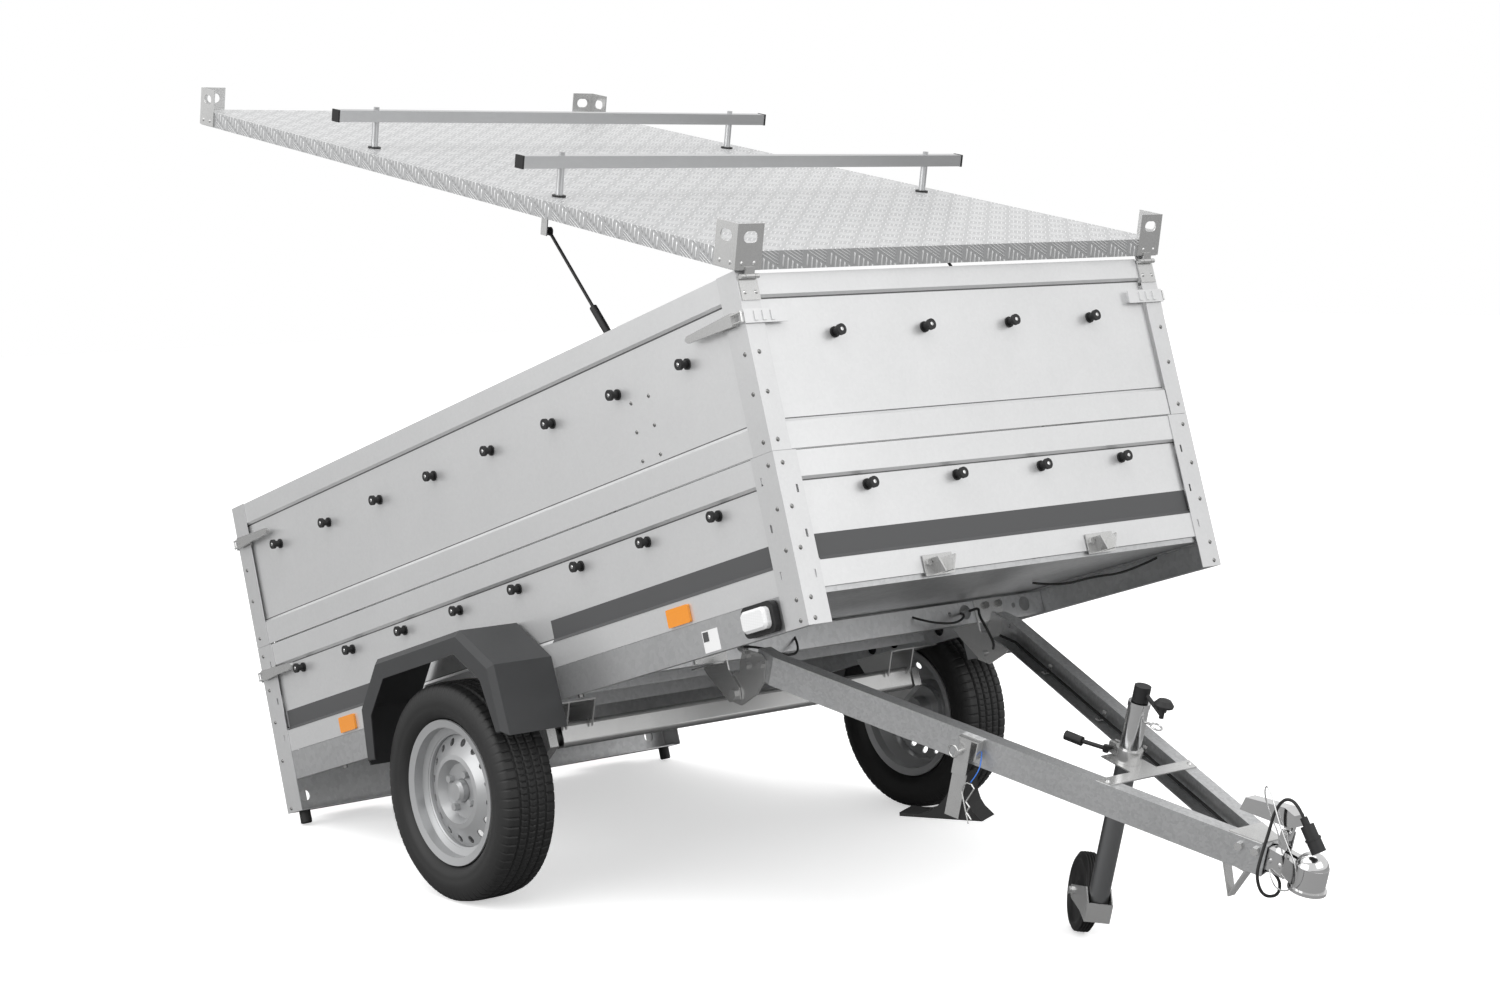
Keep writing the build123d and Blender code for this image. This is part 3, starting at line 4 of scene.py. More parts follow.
import bpy
import numpy as np
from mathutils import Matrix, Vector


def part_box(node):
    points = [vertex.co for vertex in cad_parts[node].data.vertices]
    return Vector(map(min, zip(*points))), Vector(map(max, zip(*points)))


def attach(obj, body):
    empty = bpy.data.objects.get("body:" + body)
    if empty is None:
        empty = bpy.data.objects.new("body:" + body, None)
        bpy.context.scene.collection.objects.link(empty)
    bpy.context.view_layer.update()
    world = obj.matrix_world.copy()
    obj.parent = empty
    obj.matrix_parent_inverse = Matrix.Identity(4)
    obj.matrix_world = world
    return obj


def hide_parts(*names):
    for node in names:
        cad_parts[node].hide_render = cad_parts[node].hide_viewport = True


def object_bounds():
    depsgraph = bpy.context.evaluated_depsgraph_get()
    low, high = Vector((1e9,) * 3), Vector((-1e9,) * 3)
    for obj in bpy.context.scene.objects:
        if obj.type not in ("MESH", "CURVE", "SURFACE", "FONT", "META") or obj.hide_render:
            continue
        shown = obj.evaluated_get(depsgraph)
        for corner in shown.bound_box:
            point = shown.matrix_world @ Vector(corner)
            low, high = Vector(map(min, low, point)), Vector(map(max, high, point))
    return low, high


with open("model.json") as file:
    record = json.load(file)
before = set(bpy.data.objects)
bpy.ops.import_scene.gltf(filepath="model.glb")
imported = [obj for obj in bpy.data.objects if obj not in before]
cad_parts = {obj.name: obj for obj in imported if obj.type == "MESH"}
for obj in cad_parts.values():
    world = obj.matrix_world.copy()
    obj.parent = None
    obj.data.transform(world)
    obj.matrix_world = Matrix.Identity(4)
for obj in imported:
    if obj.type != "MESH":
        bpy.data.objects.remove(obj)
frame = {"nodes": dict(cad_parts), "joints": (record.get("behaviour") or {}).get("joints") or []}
size_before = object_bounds()
nodes = frame["nodes"]

# ---- Camera --------------------------------------------------------------------------------
# Standing off the right front corner at about the height of the shut lid, with a portrait
# length lens, level but for a slight lean to one side.
camera_data = bpy.data.cameras.new("camera")
camera_data.lens = 65.75
camera_data.sensor_width = 36
camera_data.clip_end = 60
camera = bpy.data.objects.new("camera", camera_data)
camera.location = (5.2845, -4.4997, 1.6653)
camera.rotation_euler = [math.radians(a) for a in (84.162, 1.2162, 50.2094)]
bpy.context.collection.objects.link(camera)
bpy.context.scene.camera = camera


# ---- Cables at the nose ----------------------------------------------------------------------
# The trailer's plug lead comes out of the drawbar's nose, goes round the coupling and over its
# handle.  The thin wire of the breakaway cable and the pin's blue tether hang from the drawbar.
DROP = math.radians(32.2)
TIP = math.radians(16.6)
PIVOT = (-0.615, -0.079)
STAND = (0.861341, 0.794227)


def turn(x, z, angle):
    """Turns (x, z) nose-down by an angle: x' = x cos + z sin, z' = z cos - x sin."""
    return x * math.cos(angle) + z * math.sin(angle), z * math.cos(angle) - x * math.sin(angle)


def on_trailer(point):
    """A place given in millimetres on the level box, put where the tipped box carries it."""
    x, z = turn(point[0] / 1000, point[2] / 1000, -TIP)
    return x + STAND[0], point[1] / 1000, z + STAND[1]


def on_drawbar(point):
    """A place given in millimetres on the level drawbar, put where the dropped drawbar is."""
    x, z = turn(point[0] / 1000 - PIVOT[0], point[2] / 1000 - PIVOT[1], DROP)
    x, z = turn(x + PIVOT[0], z + PIVOT[1], -TIP)
    return x + STAND[0], point[1] / 1000, z + STAND[1]


def lay_cord(name, points, diameter, body):
    """Round cord on a smooth spline that is drawn towards the route's points."""
    curve = bpy.data.curves.new(name, "CURVE")
    curve.dimensions = "3D"
    curve.resolution_u = 10
    curve.bevel_depth = 1
    curve.bevel_resolution = 4
    curve.use_fill_caps = True
    spline = curve.splines.new("NURBS")
    spline.points.add(len(points) - 1)
    for place, point in zip(spline.points, points):
        place.co = (*point, 1)
        place.radius = diameter / 2
    spline.order_u = 3
    spline.use_endpoint_u = True
    cord = bpy.data.objects.new(name, curve)
    bpy.context.collection.objects.link(cord)
    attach(cord, body)
    return cord


lead_route = [(650, 8, -6), (708, 8, -8), (738, -14, -40), (726, -56, -42), (708, -72, 0),
              (700, -58, 48), (694, -42, 94), (690, -34, 138), (702, -26, 174),
              (734, -24, 176), (757, -24, 153)]
lead_points = [on_drawbar(p) for p in lead_route]
plug_lead = lay_cord("plug_lead", lead_points, 0.007, "drawbar")
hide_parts("plug_cable")

wire_route = [(724, -20, 52), (710, -27, 92), (676, -29, 126), (654, -34, 164),
              (666, -50, 194), (696, -60, 178), (724, -62, 138), (756, -60, 98),
              (790, -57, 62), (800, -55, 20), (772, -51, -10), (734, -45, -12),
              (706, -27.5, 8)]
wire_points = [on_drawbar(p) for p in wire_route]
breakaway = lay_cord("breakaway_wire", wire_points, 0.0032, "drawbar")
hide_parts("breakaway_cable")

tether_route = [(34, -243.77, 24), (50, -255.77, 6), (54, -265.77, -18), (44, -271.27, -42.5)]
tether_points = [on_drawbar(p) for p in tether_route]
tether = lay_cord("pin_tether", tether_points, 0.0026, "drawbar")
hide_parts("clip_tether")


# ---- Zinc-coated sheet -------------------------------------------------------------------------
# Panels, rails and drawbar are hot-dip galvanised steel.  The zinc freezes into leaf-like
# crystals a centimetre across, each a little lighter or duller than the next.
def material(name, color, metallic, roughness):
    made = bpy.data.materials.new(name)
    made.use_nodes = True
    shader = made.node_tree.nodes["Principled BSDF"]
    shader.inputs["Base Color"].default_value = (*color, 1)
    shader.inputs["Metallic"].default_value = metallic
    shader.inputs["Roughness"].default_value = roughness
    return made, made.node_tree, shader


def node(tree, kind, **settings):
    """Adds a node; names that match a property set it, the rest set the input of that name."""
    made = tree.nodes.new(kind)
    for key, value in settings.items():
        if hasattr(made, key):
            setattr(made, key, value)
        else:
            made.inputs[key.replace("_", " ")].default_value = value
    return made


def new_group(name, takes, gives):
    group = bpy.data.node_groups.new(name, "ShaderNodeTree")
    for label, kind, value in takes:
        socket = group.interface.new_socket(label, in_out="INPUT", socket_type=kind)
        if value is not None:
            socket.default_value = value
    for label, kind in gives:
        group.interface.new_socket(label, in_out="OUTPUT", socket_type=kind)
    return group, group.nodes.new("NodeGroupInput"), group.nodes.new("NodeGroupOutput")


FLOAT, COLOR = "NodeSocketFloat", "NodeSocketColor"

spangle, takes, gives = new_group(
    "zinc spangle",
    [("Crystals", FLOAT, 110.0), ("Strength", FLOAT, 0.3), ("Light", COLOR, None),
     ("Dark", COLOR, None), ("Smooth", FLOAT, 0.3), ("Dull", FLOAT, 0.5)],
    [("Color", COLOR), ("Roughness", FLOAT), ("Height", FLOAT)])
where = node(spangle, "ShaderNodeTexCoord")
wander = node(spangle, "ShaderNodeTexNoise", Scale=35.0, Detail=3.0)
bend = node(spangle, "ShaderNodeMix", data_type="VECTOR")
bend.inputs["Factor"].default_value = 0.012
cells = node(spangle, "ShaderNodeTexVoronoi")
shade = node(spangle, "ShaderNodeSeparateColor")
cloud = node(spangle, "ShaderNodeTexNoise", Scale=5.0, Detail=4.0, Roughness=0.6)
fine = node(spangle, "ShaderNodeTexNoise", Scale=420.0, Detail=2.0)
blend_cells = node(spangle, "ShaderNodeMix", data_type="FLOAT")
blend_cells.inputs["B"].default_value = 0.5
flip = node(spangle, "ShaderNodeMath", operation="SUBTRACT")
flip.inputs[0].default_value = 1.0
weigh = node(spangle, "ShaderNodeMath", operation="MULTIPLY_ADD")
weigh.inputs[1].default_value = 0.6
weigh.inputs[2].default_value = -0.12
mottle = node(spangle, "ShaderNodeMath", operation="MULTIPLY_ADD")
mottle.inputs[1].default_value = 0.55
speckle = node(spangle, "ShaderNodeMath", operation="MULTIPLY_ADD")
speckle.inputs[1].default_value = 0.16
paint = node(spangle, "ShaderNodeMix", data_type="RGBA")
gloss = node(spangle, "ShaderNodeMix", data_type="FLOAT")
link = spangle.links.new
link(where.outputs["Object"], wander.inputs["Vector"])
link(where.outputs["Object"], bend.inputs["A"])
link(wander.outputs["Color"], bend.inputs["B"])
link(bend.outputs["Result"], cells.inputs["Vector"])
link(takes.outputs["Crystals"], cells.inputs["Scale"])
link(cells.outputs["Color"], shade.inputs["Color"])
link(where.outputs["Object"], cloud.inputs["Vector"])
link(where.outputs["Object"], fine.inputs["Vector"])
link(takes.outputs["Strength"], flip.inputs[1])
link(flip.outputs[0], blend_cells.inputs["Factor"])
link(shade.outputs["Red"], blend_cells.inputs["A"])
link(cloud.outputs["Fac"], mottle.inputs[0])
link(blend_cells.outputs["Result"], weigh.inputs[0])
link(weigh.outputs[0], mottle.inputs[2])
link(fine.outputs["Fac"], speckle.inputs[0])
link(mottle.outputs[0], speckle.inputs[2])
link(speckle.outputs[0], paint.inputs["Factor"])
link(takes.outputs["Dark"], paint.inputs["A"])
link(takes.outputs["Light"], paint.inputs["B"])
link(speckle.outputs[0], gloss.inputs["Factor"])
link(takes.outputs["Dull"], gloss.inputs["A"])
link(takes.outputs["Smooth"], gloss.inputs["B"])
link(paint.outputs["Result"], gives.inputs["Color"])
link(gloss.outputs["Result"], gives.inputs["Roughness"])
link(speckle.outputs[0], gives.inputs["Height"])


def zinc(name, light, dark, crystals, strength, smooth, dull, bump, metallic=0.85):
    """Galvanised finish: crystal pattern in colour, gloss and a faint relief."""
    made, tree, shader = material(name, light, metallic, dull)
    effect = node(tree, "ShaderNodeGroup", node_tree=spangle)
    effect.inputs["Crystals"].default_value = crystals
    effect.inputs["Strength"].default_value = strength
    effect.inputs["Light"].default_value = (*light, 1)
    effect.inputs["Dark"].default_value = (*dark, 1)
    effect.inputs["Smooth"].default_value = smooth
    effect.inputs["Dull"].default_value = dull
    relief = node(tree, "ShaderNodeBump", Strength=bump, Distance=0.0004)
    tree.links.new(effect.outputs["Color"], shader.inputs["Base Color"])
    tree.links.new(effect.outputs["Roughness"], shader.inputs["Roughness"])
    tree.links.new(effect.outputs["Height"], relief.inputs["Height"])
    tree.links.new(relief.outputs["Normal"], shader.inputs["Normal"])
    return made


def paint_fold_shade(surface, heights, depth):
    """Painted shade: dark lines where shade falls in the inner corners of a panel's folds, and one
    along the seam between upper and lower panels for its dark joint and the shade in it.  A place's
    height above the level rails is (place - stand) . up, and each line is a narrow bell about one
    height in metres."""
    tree = surface.node_tree
    shader = tree.nodes["Principled BSDF"]
    painted = shader.inputs["Base Color"].links[0].from_socket
    at = node(tree, "ShaderNodeTexCoord")
    moved = node(tree, "ShaderNodeVectorMath", operation="SUBTRACT")
    moved.inputs[1].default_value = (STAND[0], 0, STAND[1])
    height = node(tree, "ShaderNodeVectorMath", operation="DOT_PRODUCT")
    height.inputs[1].default_value = (-math.sin(TIP), 0, math.cos(TIP))
    tree.links.new(at.outputs["Object"], moved.inputs[0])
    tree.links.new(moved.outputs["Vector"], height.inputs[0])
    line = None
    for middle, spread in heights:
        band = node(tree, "ShaderNodeMath", operation="COMPARE")
        band.inputs[1].default_value = middle
        band.inputs[2].default_value = spread
        tree.links.new(height.outputs["Value"], band.inputs[0])
        if line is None:
            line = band.outputs[0]
        else:
            both = node(tree, "ShaderNodeMath", operation="MAXIMUM")
            tree.links.new(line, both.inputs[0])
            tree.links.new(band.outputs[0], both.inputs[1])
            line = both.outputs[0]
    some = node(tree, "ShaderNodeMath", operation="MULTIPLY")
    some.inputs[1].default_value = depth
    # Painted shade: near-black mixed into the panel colour along the fold lines.
    shaded = node(tree, "ShaderNodeMix", data_type="RGBA")
    shaded.inputs["B"].default_value = (0.05, 0.05, 0.052, 1)
    tree.links.new(line, some.inputs[0])
    tree.links.new(some.outputs[0], shaded.inputs["Factor"])
    tree.links.new(painted, shaded.inputs["A"])
    tree.links.new(shaded.outputs["Result"], shader.inputs["Base Color"])


def finish(name, *surfaces):
    """Puts a material on a CAD node, or one on each of its slots."""
    slots = nodes[name].data.materials
    slots.clear()
    for surface in surfaces:
        slots.append(surface)


panel_zinc = zinc("panel zinc", (0.80, 0.803, 0.806), (0.60, 0.603, 0.606), 130, 0.16, 0.26, 0.42, 0.06,
                  0.6)
# Painted shade in the fold corners at these heights; at 0.387 the seam line is a dark joint with
# painted shade in it.
paint_fold_shade(panel_zinc, [(0.1465, 0.0014), (0.318, 0.0014), (0.4585, 0.0014), (0.731, 0.0016),
                         (0.387, 0.0020)], 0.85)
post_zinc = zinc("post zinc", (0.76, 0.763, 0.766), (0.55, 0.553, 0.556), 150, 0.16, 0.24, 0.38, 0.06,
                 0.6)
rail_zinc = zinc("rail zinc", (0.70, 0.705, 0.71), (0.36, 0.365, 0.37), 90, 0.35, 0.25, 0.46, 0.10)
arm_zinc = zinc("drawbar zinc", (0.68, 0.685, 0.69), (0.32, 0.325, 0.33), 170, 0.45, 0.24, 0.48, 0.15)
fitting_zinc = zinc("fitting zinc", (0.72, 0.72, 0.715), (0.46, 0.46, 0.455), 200, 0.15, 0.16, 0.34,
                    0.06, 0.8)
dark_zinc = zinc("fastener zinc", (0.34, 0.34, 0.335), (0.16, 0.16, 0.155), 300, 0.15, 0.16, 0.34, 0.06,
                 0.95)
for name in ("lower_panels", "upper_side_panels", "front_flap", "rear_flap", "tailgate"):
    finish(name, panel_zinc)
for name in ("chassis_frame", "floor_sheet"):
    finish(name, rail_zinc)
finish("drawbar_arms", arm_zinc)
latches = [name for name in nodes if name.startswith("latch_")]
finish("corner_posts", post_zinc)
finish("frame_fasteners", dark_zinc)
for name in ["drawbar_hangers", "hinge_plates", "drawbar_cross_pieces",
             "box_fittings", "lid_fittings", "axle_tube", "swing_arm_right", "swing_arm_left",
             "chock_holder", "jockey_fork", "jockey_inner_tube",
             "spring_clip"] + latches:
    finish(name, fitting_zinc)


# ---- Lid ---------------------------------------------------------------------------------------
# Rolled aluminium chequer plate with the five-bar pattern: groups of five short raised bars,
# turned a quarter from one group to the next.  Its bars are painted brighter than its ground: a
# painted highlight where the raised bars catch the light.
LID_TILT = math.radians(26.5 - 16.6)


def chequer(name, pitch, metallic):
    """Five-bar plate: each square of a grid holds bars along one diagonal, its neighbours'
    along the other; a bar's height is a raised cosine across it, cut off at both its ends."""
    made, tree, shader = material(name, (0.72, 0.73, 0.735), metallic, 0.30)
    at = node(tree, "ShaderNodeTexCoord")
    level = node(tree, "ShaderNodeMapping")
    level.inputs["Rotation"].default_value = (0, -LID_TILT, 0)
    level.inputs["Scale"].default_value = (1 / pitch, 1 / pitch, 1 / pitch)
    split = node(tree, "ShaderNodeSeparateXYZ")
    tree.links.new(at.outputs["Object"], level.inputs["Vector"])
    tree.links.new(level.outputs["Vector"], split.inputs["Vector"])

    def calc(operation, *values):
        made_node = tree.nodes.new("ShaderNodeMath")
        made_node.operation = operation
        for socket, value in zip(made_node.inputs, values):
            if isinstance(value, (int, float)):
                socket.default_value = value
            else:
                tree.links.new(value, socket)
        return made_node.outputs[0]

    # The flanges stand upright, so the height is added to the plan on both axes there.
    x = calc("ADD", split.outputs["X"], split.outputs["Z"])
    y = calc("ADD", split.outputs["Y"], split.outputs["Z"])
    u = calc("MULTIPLY", calc("ADD", x, y), 0.7071)
    v = calc("MULTIPLY", calc("SUBTRACT", x, y), 0.7071)
    iu, iv = calc("FLOOR", u), calc("FLOOR", v)
    fu = calc("SUBTRACT", calc("FRACT", u), 0.5)
    fv = calc("SUBTRACT", calc("FRACT", v), 0.5)
    odd = calc("GREATER_THAN", calc("FRACT", calc("MULTIPLY", calc("ADD", iu, iv), 0.5)), 0.25)
    even = calc("SUBTRACT", 1.0, odd)
    across = calc("ADD", calc("MULTIPLY", fu, odd), calc("MULTIPLY", fv, even))
    along = calc("ADD", calc("MULTIPLY", fv, odd), calc("MULTIPLY", fu, even))
    wave = calc("COSINE", calc("MULTIPLY", across, 2 * math.pi * 5 / 1.0))
    bar = calc("SMOOTH_MIN", calc("MAXIMUM", wave, 0.0), 0.7, 0.15)
    inside = calc("MULTIPLY", calc("LESS_THAN", calc("ABSOLUTE", along), 0.40),
                  calc("LESS_THAN", calc("ABSOLUTE", across), 0.49))
    taper = calc("SUBTRACT", 1.0, calc("POWER", calc("MULTIPLY", calc("ABSOLUTE", along), 2.4), 4.0))
    height = calc("MULTIPLY", calc("MULTIPLY", bar, inside), calc("MAXIMUM", taper, 0.0))
    relief = node(tree, "ShaderNodeBump", Strength=1.0, Distance=0.0036)
    # Painted highlight: the colour goes from 0.48 in the ground to 0.95 with the bars' height.
    tone = node(tree, "ShaderNodeMix", data_type="RGBA")
    tone.inputs["A"].default_value = (0.48, 0.484, 0.488, 1)
    tone.inputs["B"].default_value = (0.95, 0.952, 0.955, 1)
    tree.links.new(height, relief.inputs["Height"])
    tree.links.new(height, tone.inputs["Factor"])
    tree.links.new(tone.outputs["Result"], shader.inputs["Base Color"])
    tree.links.new(relief.outputs["Normal"], shader.inputs["Normal"])
    return made


chequer_plate = chequer("chequer plate", 0.050, 0.6)
finish("lid_plate", chequer_plate)
bar_aluminium = zinc("bar aluminium", (0.62, 0.625, 0.63), (0.48, 0.485, 0.49), 60, 0.1, 0.28, 0.36,
                     0.03, 0.9)
finish("roof_bars", bar_aluminium)


# ---- Chromed and painted steel -------------------------------------------------------------------
# The jockey wheel's leg and the coupling head with its handle are plated bright; the road wheels
# are sprayed silver, with a fine orange-peel skin.
bright = zinc("bright plating", (0.72, 0.72, 0.72), (0.60, 0.60, 0.60), 30, 0.1, 0.06, 0.16, 0.02, 1.0)
for name in ("coupling_head", "coupling_handle"):
    finish(name, bright)


def two_tone(upper, color, roughness, split):
    """Gives a finish another color and roughness below a height above the drawbar's middle."""
    tree = upper.node_tree
    shader = tree.nodes["Principled BSDF"]
    at = node(tree, "ShaderNodeTexCoord")
    moved = node(tree, "ShaderNodeVectorMath", operation="SUBTRACT")
    moved.inputs[1].default_value = on_drawbar((0, 0, split * 1000))
    height = node(tree, "ShaderNodeVectorMath", operation="DOT_PRODUCT")
    height.inputs[1].default_value = (math.sin(DROP - TIP), 0, math.cos(DROP - TIP))
    above = node(tree, "ShaderNodeMath", operation="GREATER_THAN")
    above.inputs[1].default_value = 0.0
    tree.links.new(at.outputs["Object"], moved.inputs[0])
    tree.links.new(moved.outputs["Vector"], height.inputs[0])
    tree.links.new(height.outputs["Value"], above.inputs[0])
    for socket, low, kind in (("Base Color", (*color, 1), "RGBA"),
                              ("Roughness", roughness, "FLOAT")):
        join = node(tree, "ShaderNodeMix", data_type=kind)
        tree.links.new(above.outputs[0], join.inputs["Factor"])
        join.inputs["A"].default_value = low
        tree.links.new(shader.inputs[socket].links[0].from_socket, join.inputs["B"])
        tree.links.new(join.outputs["Result"], shader.inputs[socket])


leg_plating = zinc("leg plating", (0.74, 0.74, 0.74), (0.55, 0.55, 0.55), 60, 0.1, 0.08, 0.18, 0.02,
                   1.0)
two_tone(leg_plating, (0.20, 0.203, 0.206), 0.42, 0.06)
finish("jockey_outer_tube", leg_plating)
breakaway.data.materials.append(bright)
wheel_paint = zinc("wheel silver", (0.50, 0.505, 0.51), (0.42, 0.425, 0.43), 300, 0.1, 0.30, 0.36, 0.05,
                   0.55)
for name in ("wheel_right", "wheel_left"):
    finish(name, wheel_paint)


# ---- Rubber and moulded plastic ------------------------------------------------------------------
# Mudguards, knobs, lamp bodies and caps are black or charcoal mouldings with a fine leathery
# grain; feet, chock, tyres and the cables' jackets are rubber.
grain, takes, gives = new_group(
    "moulded grain",
    [("Scale", FLOAT, 900.0), ("Light", COLOR, None), ("Dark", COLOR, None)],
    [("Color", COLOR), ("Roughness", FLOAT), ("Height", FLOAT)])
where = node(grain, "ShaderNodeTexCoord")
pebbles = node(grain, "ShaderNodeTexVoronoi", feature="SMOOTH_F1")
dust = node(grain, "ShaderNodeTexNoise", Scale=14.0, Detail=5.0, Roughness=0.65)
tone = node(grain, "ShaderNodeMix", data_type="RGBA")
sheen = node(grain, "ShaderNodeMapRange")
sheen.inputs["To Min"].default_value = 0.42
sheen.inputs["To Max"].default_value = 0.66
link = grain.links.new
link(where.outputs["Object"], pebbles.inputs["Vector"])
link(where.outputs["Object"], dust.inputs["Vector"])
link(takes.outputs["Scale"], pebbles.inputs["Scale"])
link(dust.outputs["Fac"], tone.inputs["Factor"])
link(dust.outputs["Fac"], sheen.inputs["Value"])
link(takes.outputs["Dark"], tone.inputs["A"])
link(takes.outputs["Light"], tone.inputs["B"])
link(tone.outputs["Result"], gives.inputs["Color"])
link(sheen.outputs["Result"], gives.inputs["Roughness"])
link(pebbles.outputs["Distance"], gives.inputs["Height"])


def moulded(name, light, dark, scale, bump):
    made, tree, shader = material(name, light, 0, 0.5)
    effect = node(tree, "ShaderNodeGroup", node_tree=grain)
    effect.inputs["Scale"].default_value = scale
    effect.inputs["Light"].default_value = (*light, 1)
    effect.inputs["Dark"].default_value = (*dark, 1)
    relief = node(tree, "ShaderNodeBump", Strength=bump, Distance=0.0003)
    tree.links.new(effect.outputs["Color"], shader.inputs["Base Color"])
    tree.links.new(effect.outputs["Roughness"], shader.inputs["Roughness"])
    tree.links.new(effect.outputs["Height"], relief.inputs["Height"])
    tree.links.new(relief.outputs["Normal"], shader.inputs["Normal"])
    return made


guard_plastic = moulded("mudguard plastic", (0.045, 0.046, 0.048), (0.028, 0.029, 0.030), 900, 0.4)
black_plastic = moulded("black plastic", (0.010, 0.010, 0.011), (0.005, 0.005, 0.005), 1500, 0.2)
rubber = moulded("black rubber", (0.014, 0.014, 0.014), (0.006, 0.006, 0.006), 700, 0.3)
finish("mudguards", guard_plastic)
for name in ("box_knobs", "front_flap_knobs", "lamp_housings", "roof_bar_trims", "trailer_plug",
             "jockey_crank", "clamp_lever", "strut_cylinder_right", "strut_cylinder_left",
             "strut_rod_right", "strut_rod_left"):
    finish(name, black_plastic)
for name in ("rubber_feet", "beam_cable_loop", "drawbar_cable", "jockey_wheel", "wheel_chock"):
    finish(name, rubber)
plug_lead.data.materials.append(rubber)
blue_cord = moulded("blue cord", (0.05, 0.22, 0.80), (0.03, 0.16, 0.62), 2500, 0.4)
tether.data.materials.append(blue_cord)


# ---- Lenses ----------------------------------------------------------------------------------------
# The orange side reflectors and red tail lenses are clear mouldings backed by tiny prisms; the
# white front lamps are smooth.
def lens(name, color, prisms):
    """Coloured lens whose prisms are small square cells with a slanted face each; its colour is
    painted darker with the prisms' relief towards each cell's edge, a painted shade on the faces.
    """
    made, tree, shader = material(name, color, 0, 0.12)
    shader.inputs["Coat Weight"].default_value = 0.6
    at = node(tree, "ShaderNodeTexCoord")
    cells = node(tree, "ShaderNodeTexVoronoi", distance="CHEBYCHEV", Randomness=0.0)
    cells.inputs["Scale"].default_value = prisms
    # Painted shade: the colour darkens towards each cell's edge with the same relief as the bump.
    tone = node(tree, "ShaderNodeMix", data_type="RGBA")
    tone.inputs["A"].default_value = (*color, 1)
    tone.inputs["B"].default_value = (*[c * 0.72 for c in color], 1)
    relief = node(tree, "ShaderNodeBump", Strength=0.35, Distance=0.0006)
    tree.links.new(at.outputs["Object"], cells.inputs["Vector"])
    tree.links.new(cells.outputs["Distance"], relief.inputs["Height"])
    tree.links.new(cells.outputs["Distance"], tone.inputs["Factor"])
    tree.links.new(tone.outputs["Result"], shader.inputs["Base Color"])
    tree.links.new(relief.outputs["Normal"], shader.inputs["Normal"])
    return made


finish("side_reflectors", lens("orange reflector", (0.95, 0.33, 0.02), 320))
finish("tail_lamp_lenses", lens("red lens", (0.50, 0.015, 0.012), 240))
finish("front_lamp_lenses", lens("white lens", (0.92, 0.925, 0.93), 160))


# ---- Tyres -----------------------------------------------------------------------------------------
# Road tyres of moulded rubber: four grooves round the tread, zigzag sipes across its ribs, and
# smooth sidewalls with two low rings and a bead that sits inside the rim's flange.
def on_grid(name, points, closed_u, closed_v, body, surface, smooth=True):
    """Mesh from a grid of points (u, v, xyz); u and v wrap round where they are closed."""
    rows, columns = points.shape[:2]
    u = np.arange(rows if closed_u else rows - 1)
    v = np.arange(columns if closed_v else columns - 1)
    uu, vv = np.meshgrid(u, v, indexing="ij")
    u2, v2 = (uu + 1) % rows, (vv + 1) % columns
    faces = np.stack([uu * columns + vv, u2 * columns + vv, u2 * columns + v2,
                      uu * columns + v2], axis=-1).reshape(-1, 4)
    mesh = bpy.data.meshes.new(name)
    mesh.from_pydata(points.reshape(-1, 3), [], faces)
    mesh.update()
    if smooth:
        mesh.shade_smooth()
    made = bpy.data.objects.new(name, mesh)
    bpy.context.collection.objects.link(made)
    made.data.materials.append(surface)
    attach(made, body)
    return made


def face_outwards(piece):
    """Turns a closed piece's faces the right way when its volume comes out negative."""
    mesh = piece.data
    mesh.calc_loop_triangles()
    corners = np.empty(len(mesh.loop_triangles) * 3, dtype=np.int32)
    mesh.loop_triangles.foreach_get("vertices", corners)
    at = np.empty(len(mesh.vertices) * 3)
    mesh.vertices.foreach_get("co", at)
    a, b, c = np.moveaxis(at.reshape(-1, 3)[corners.reshape(-1, 3)], 1, 0)
    if np.einsum("ij,ij->i", a, np.cross(b, c)).sum() < 0:
        mesh.flip_normals()


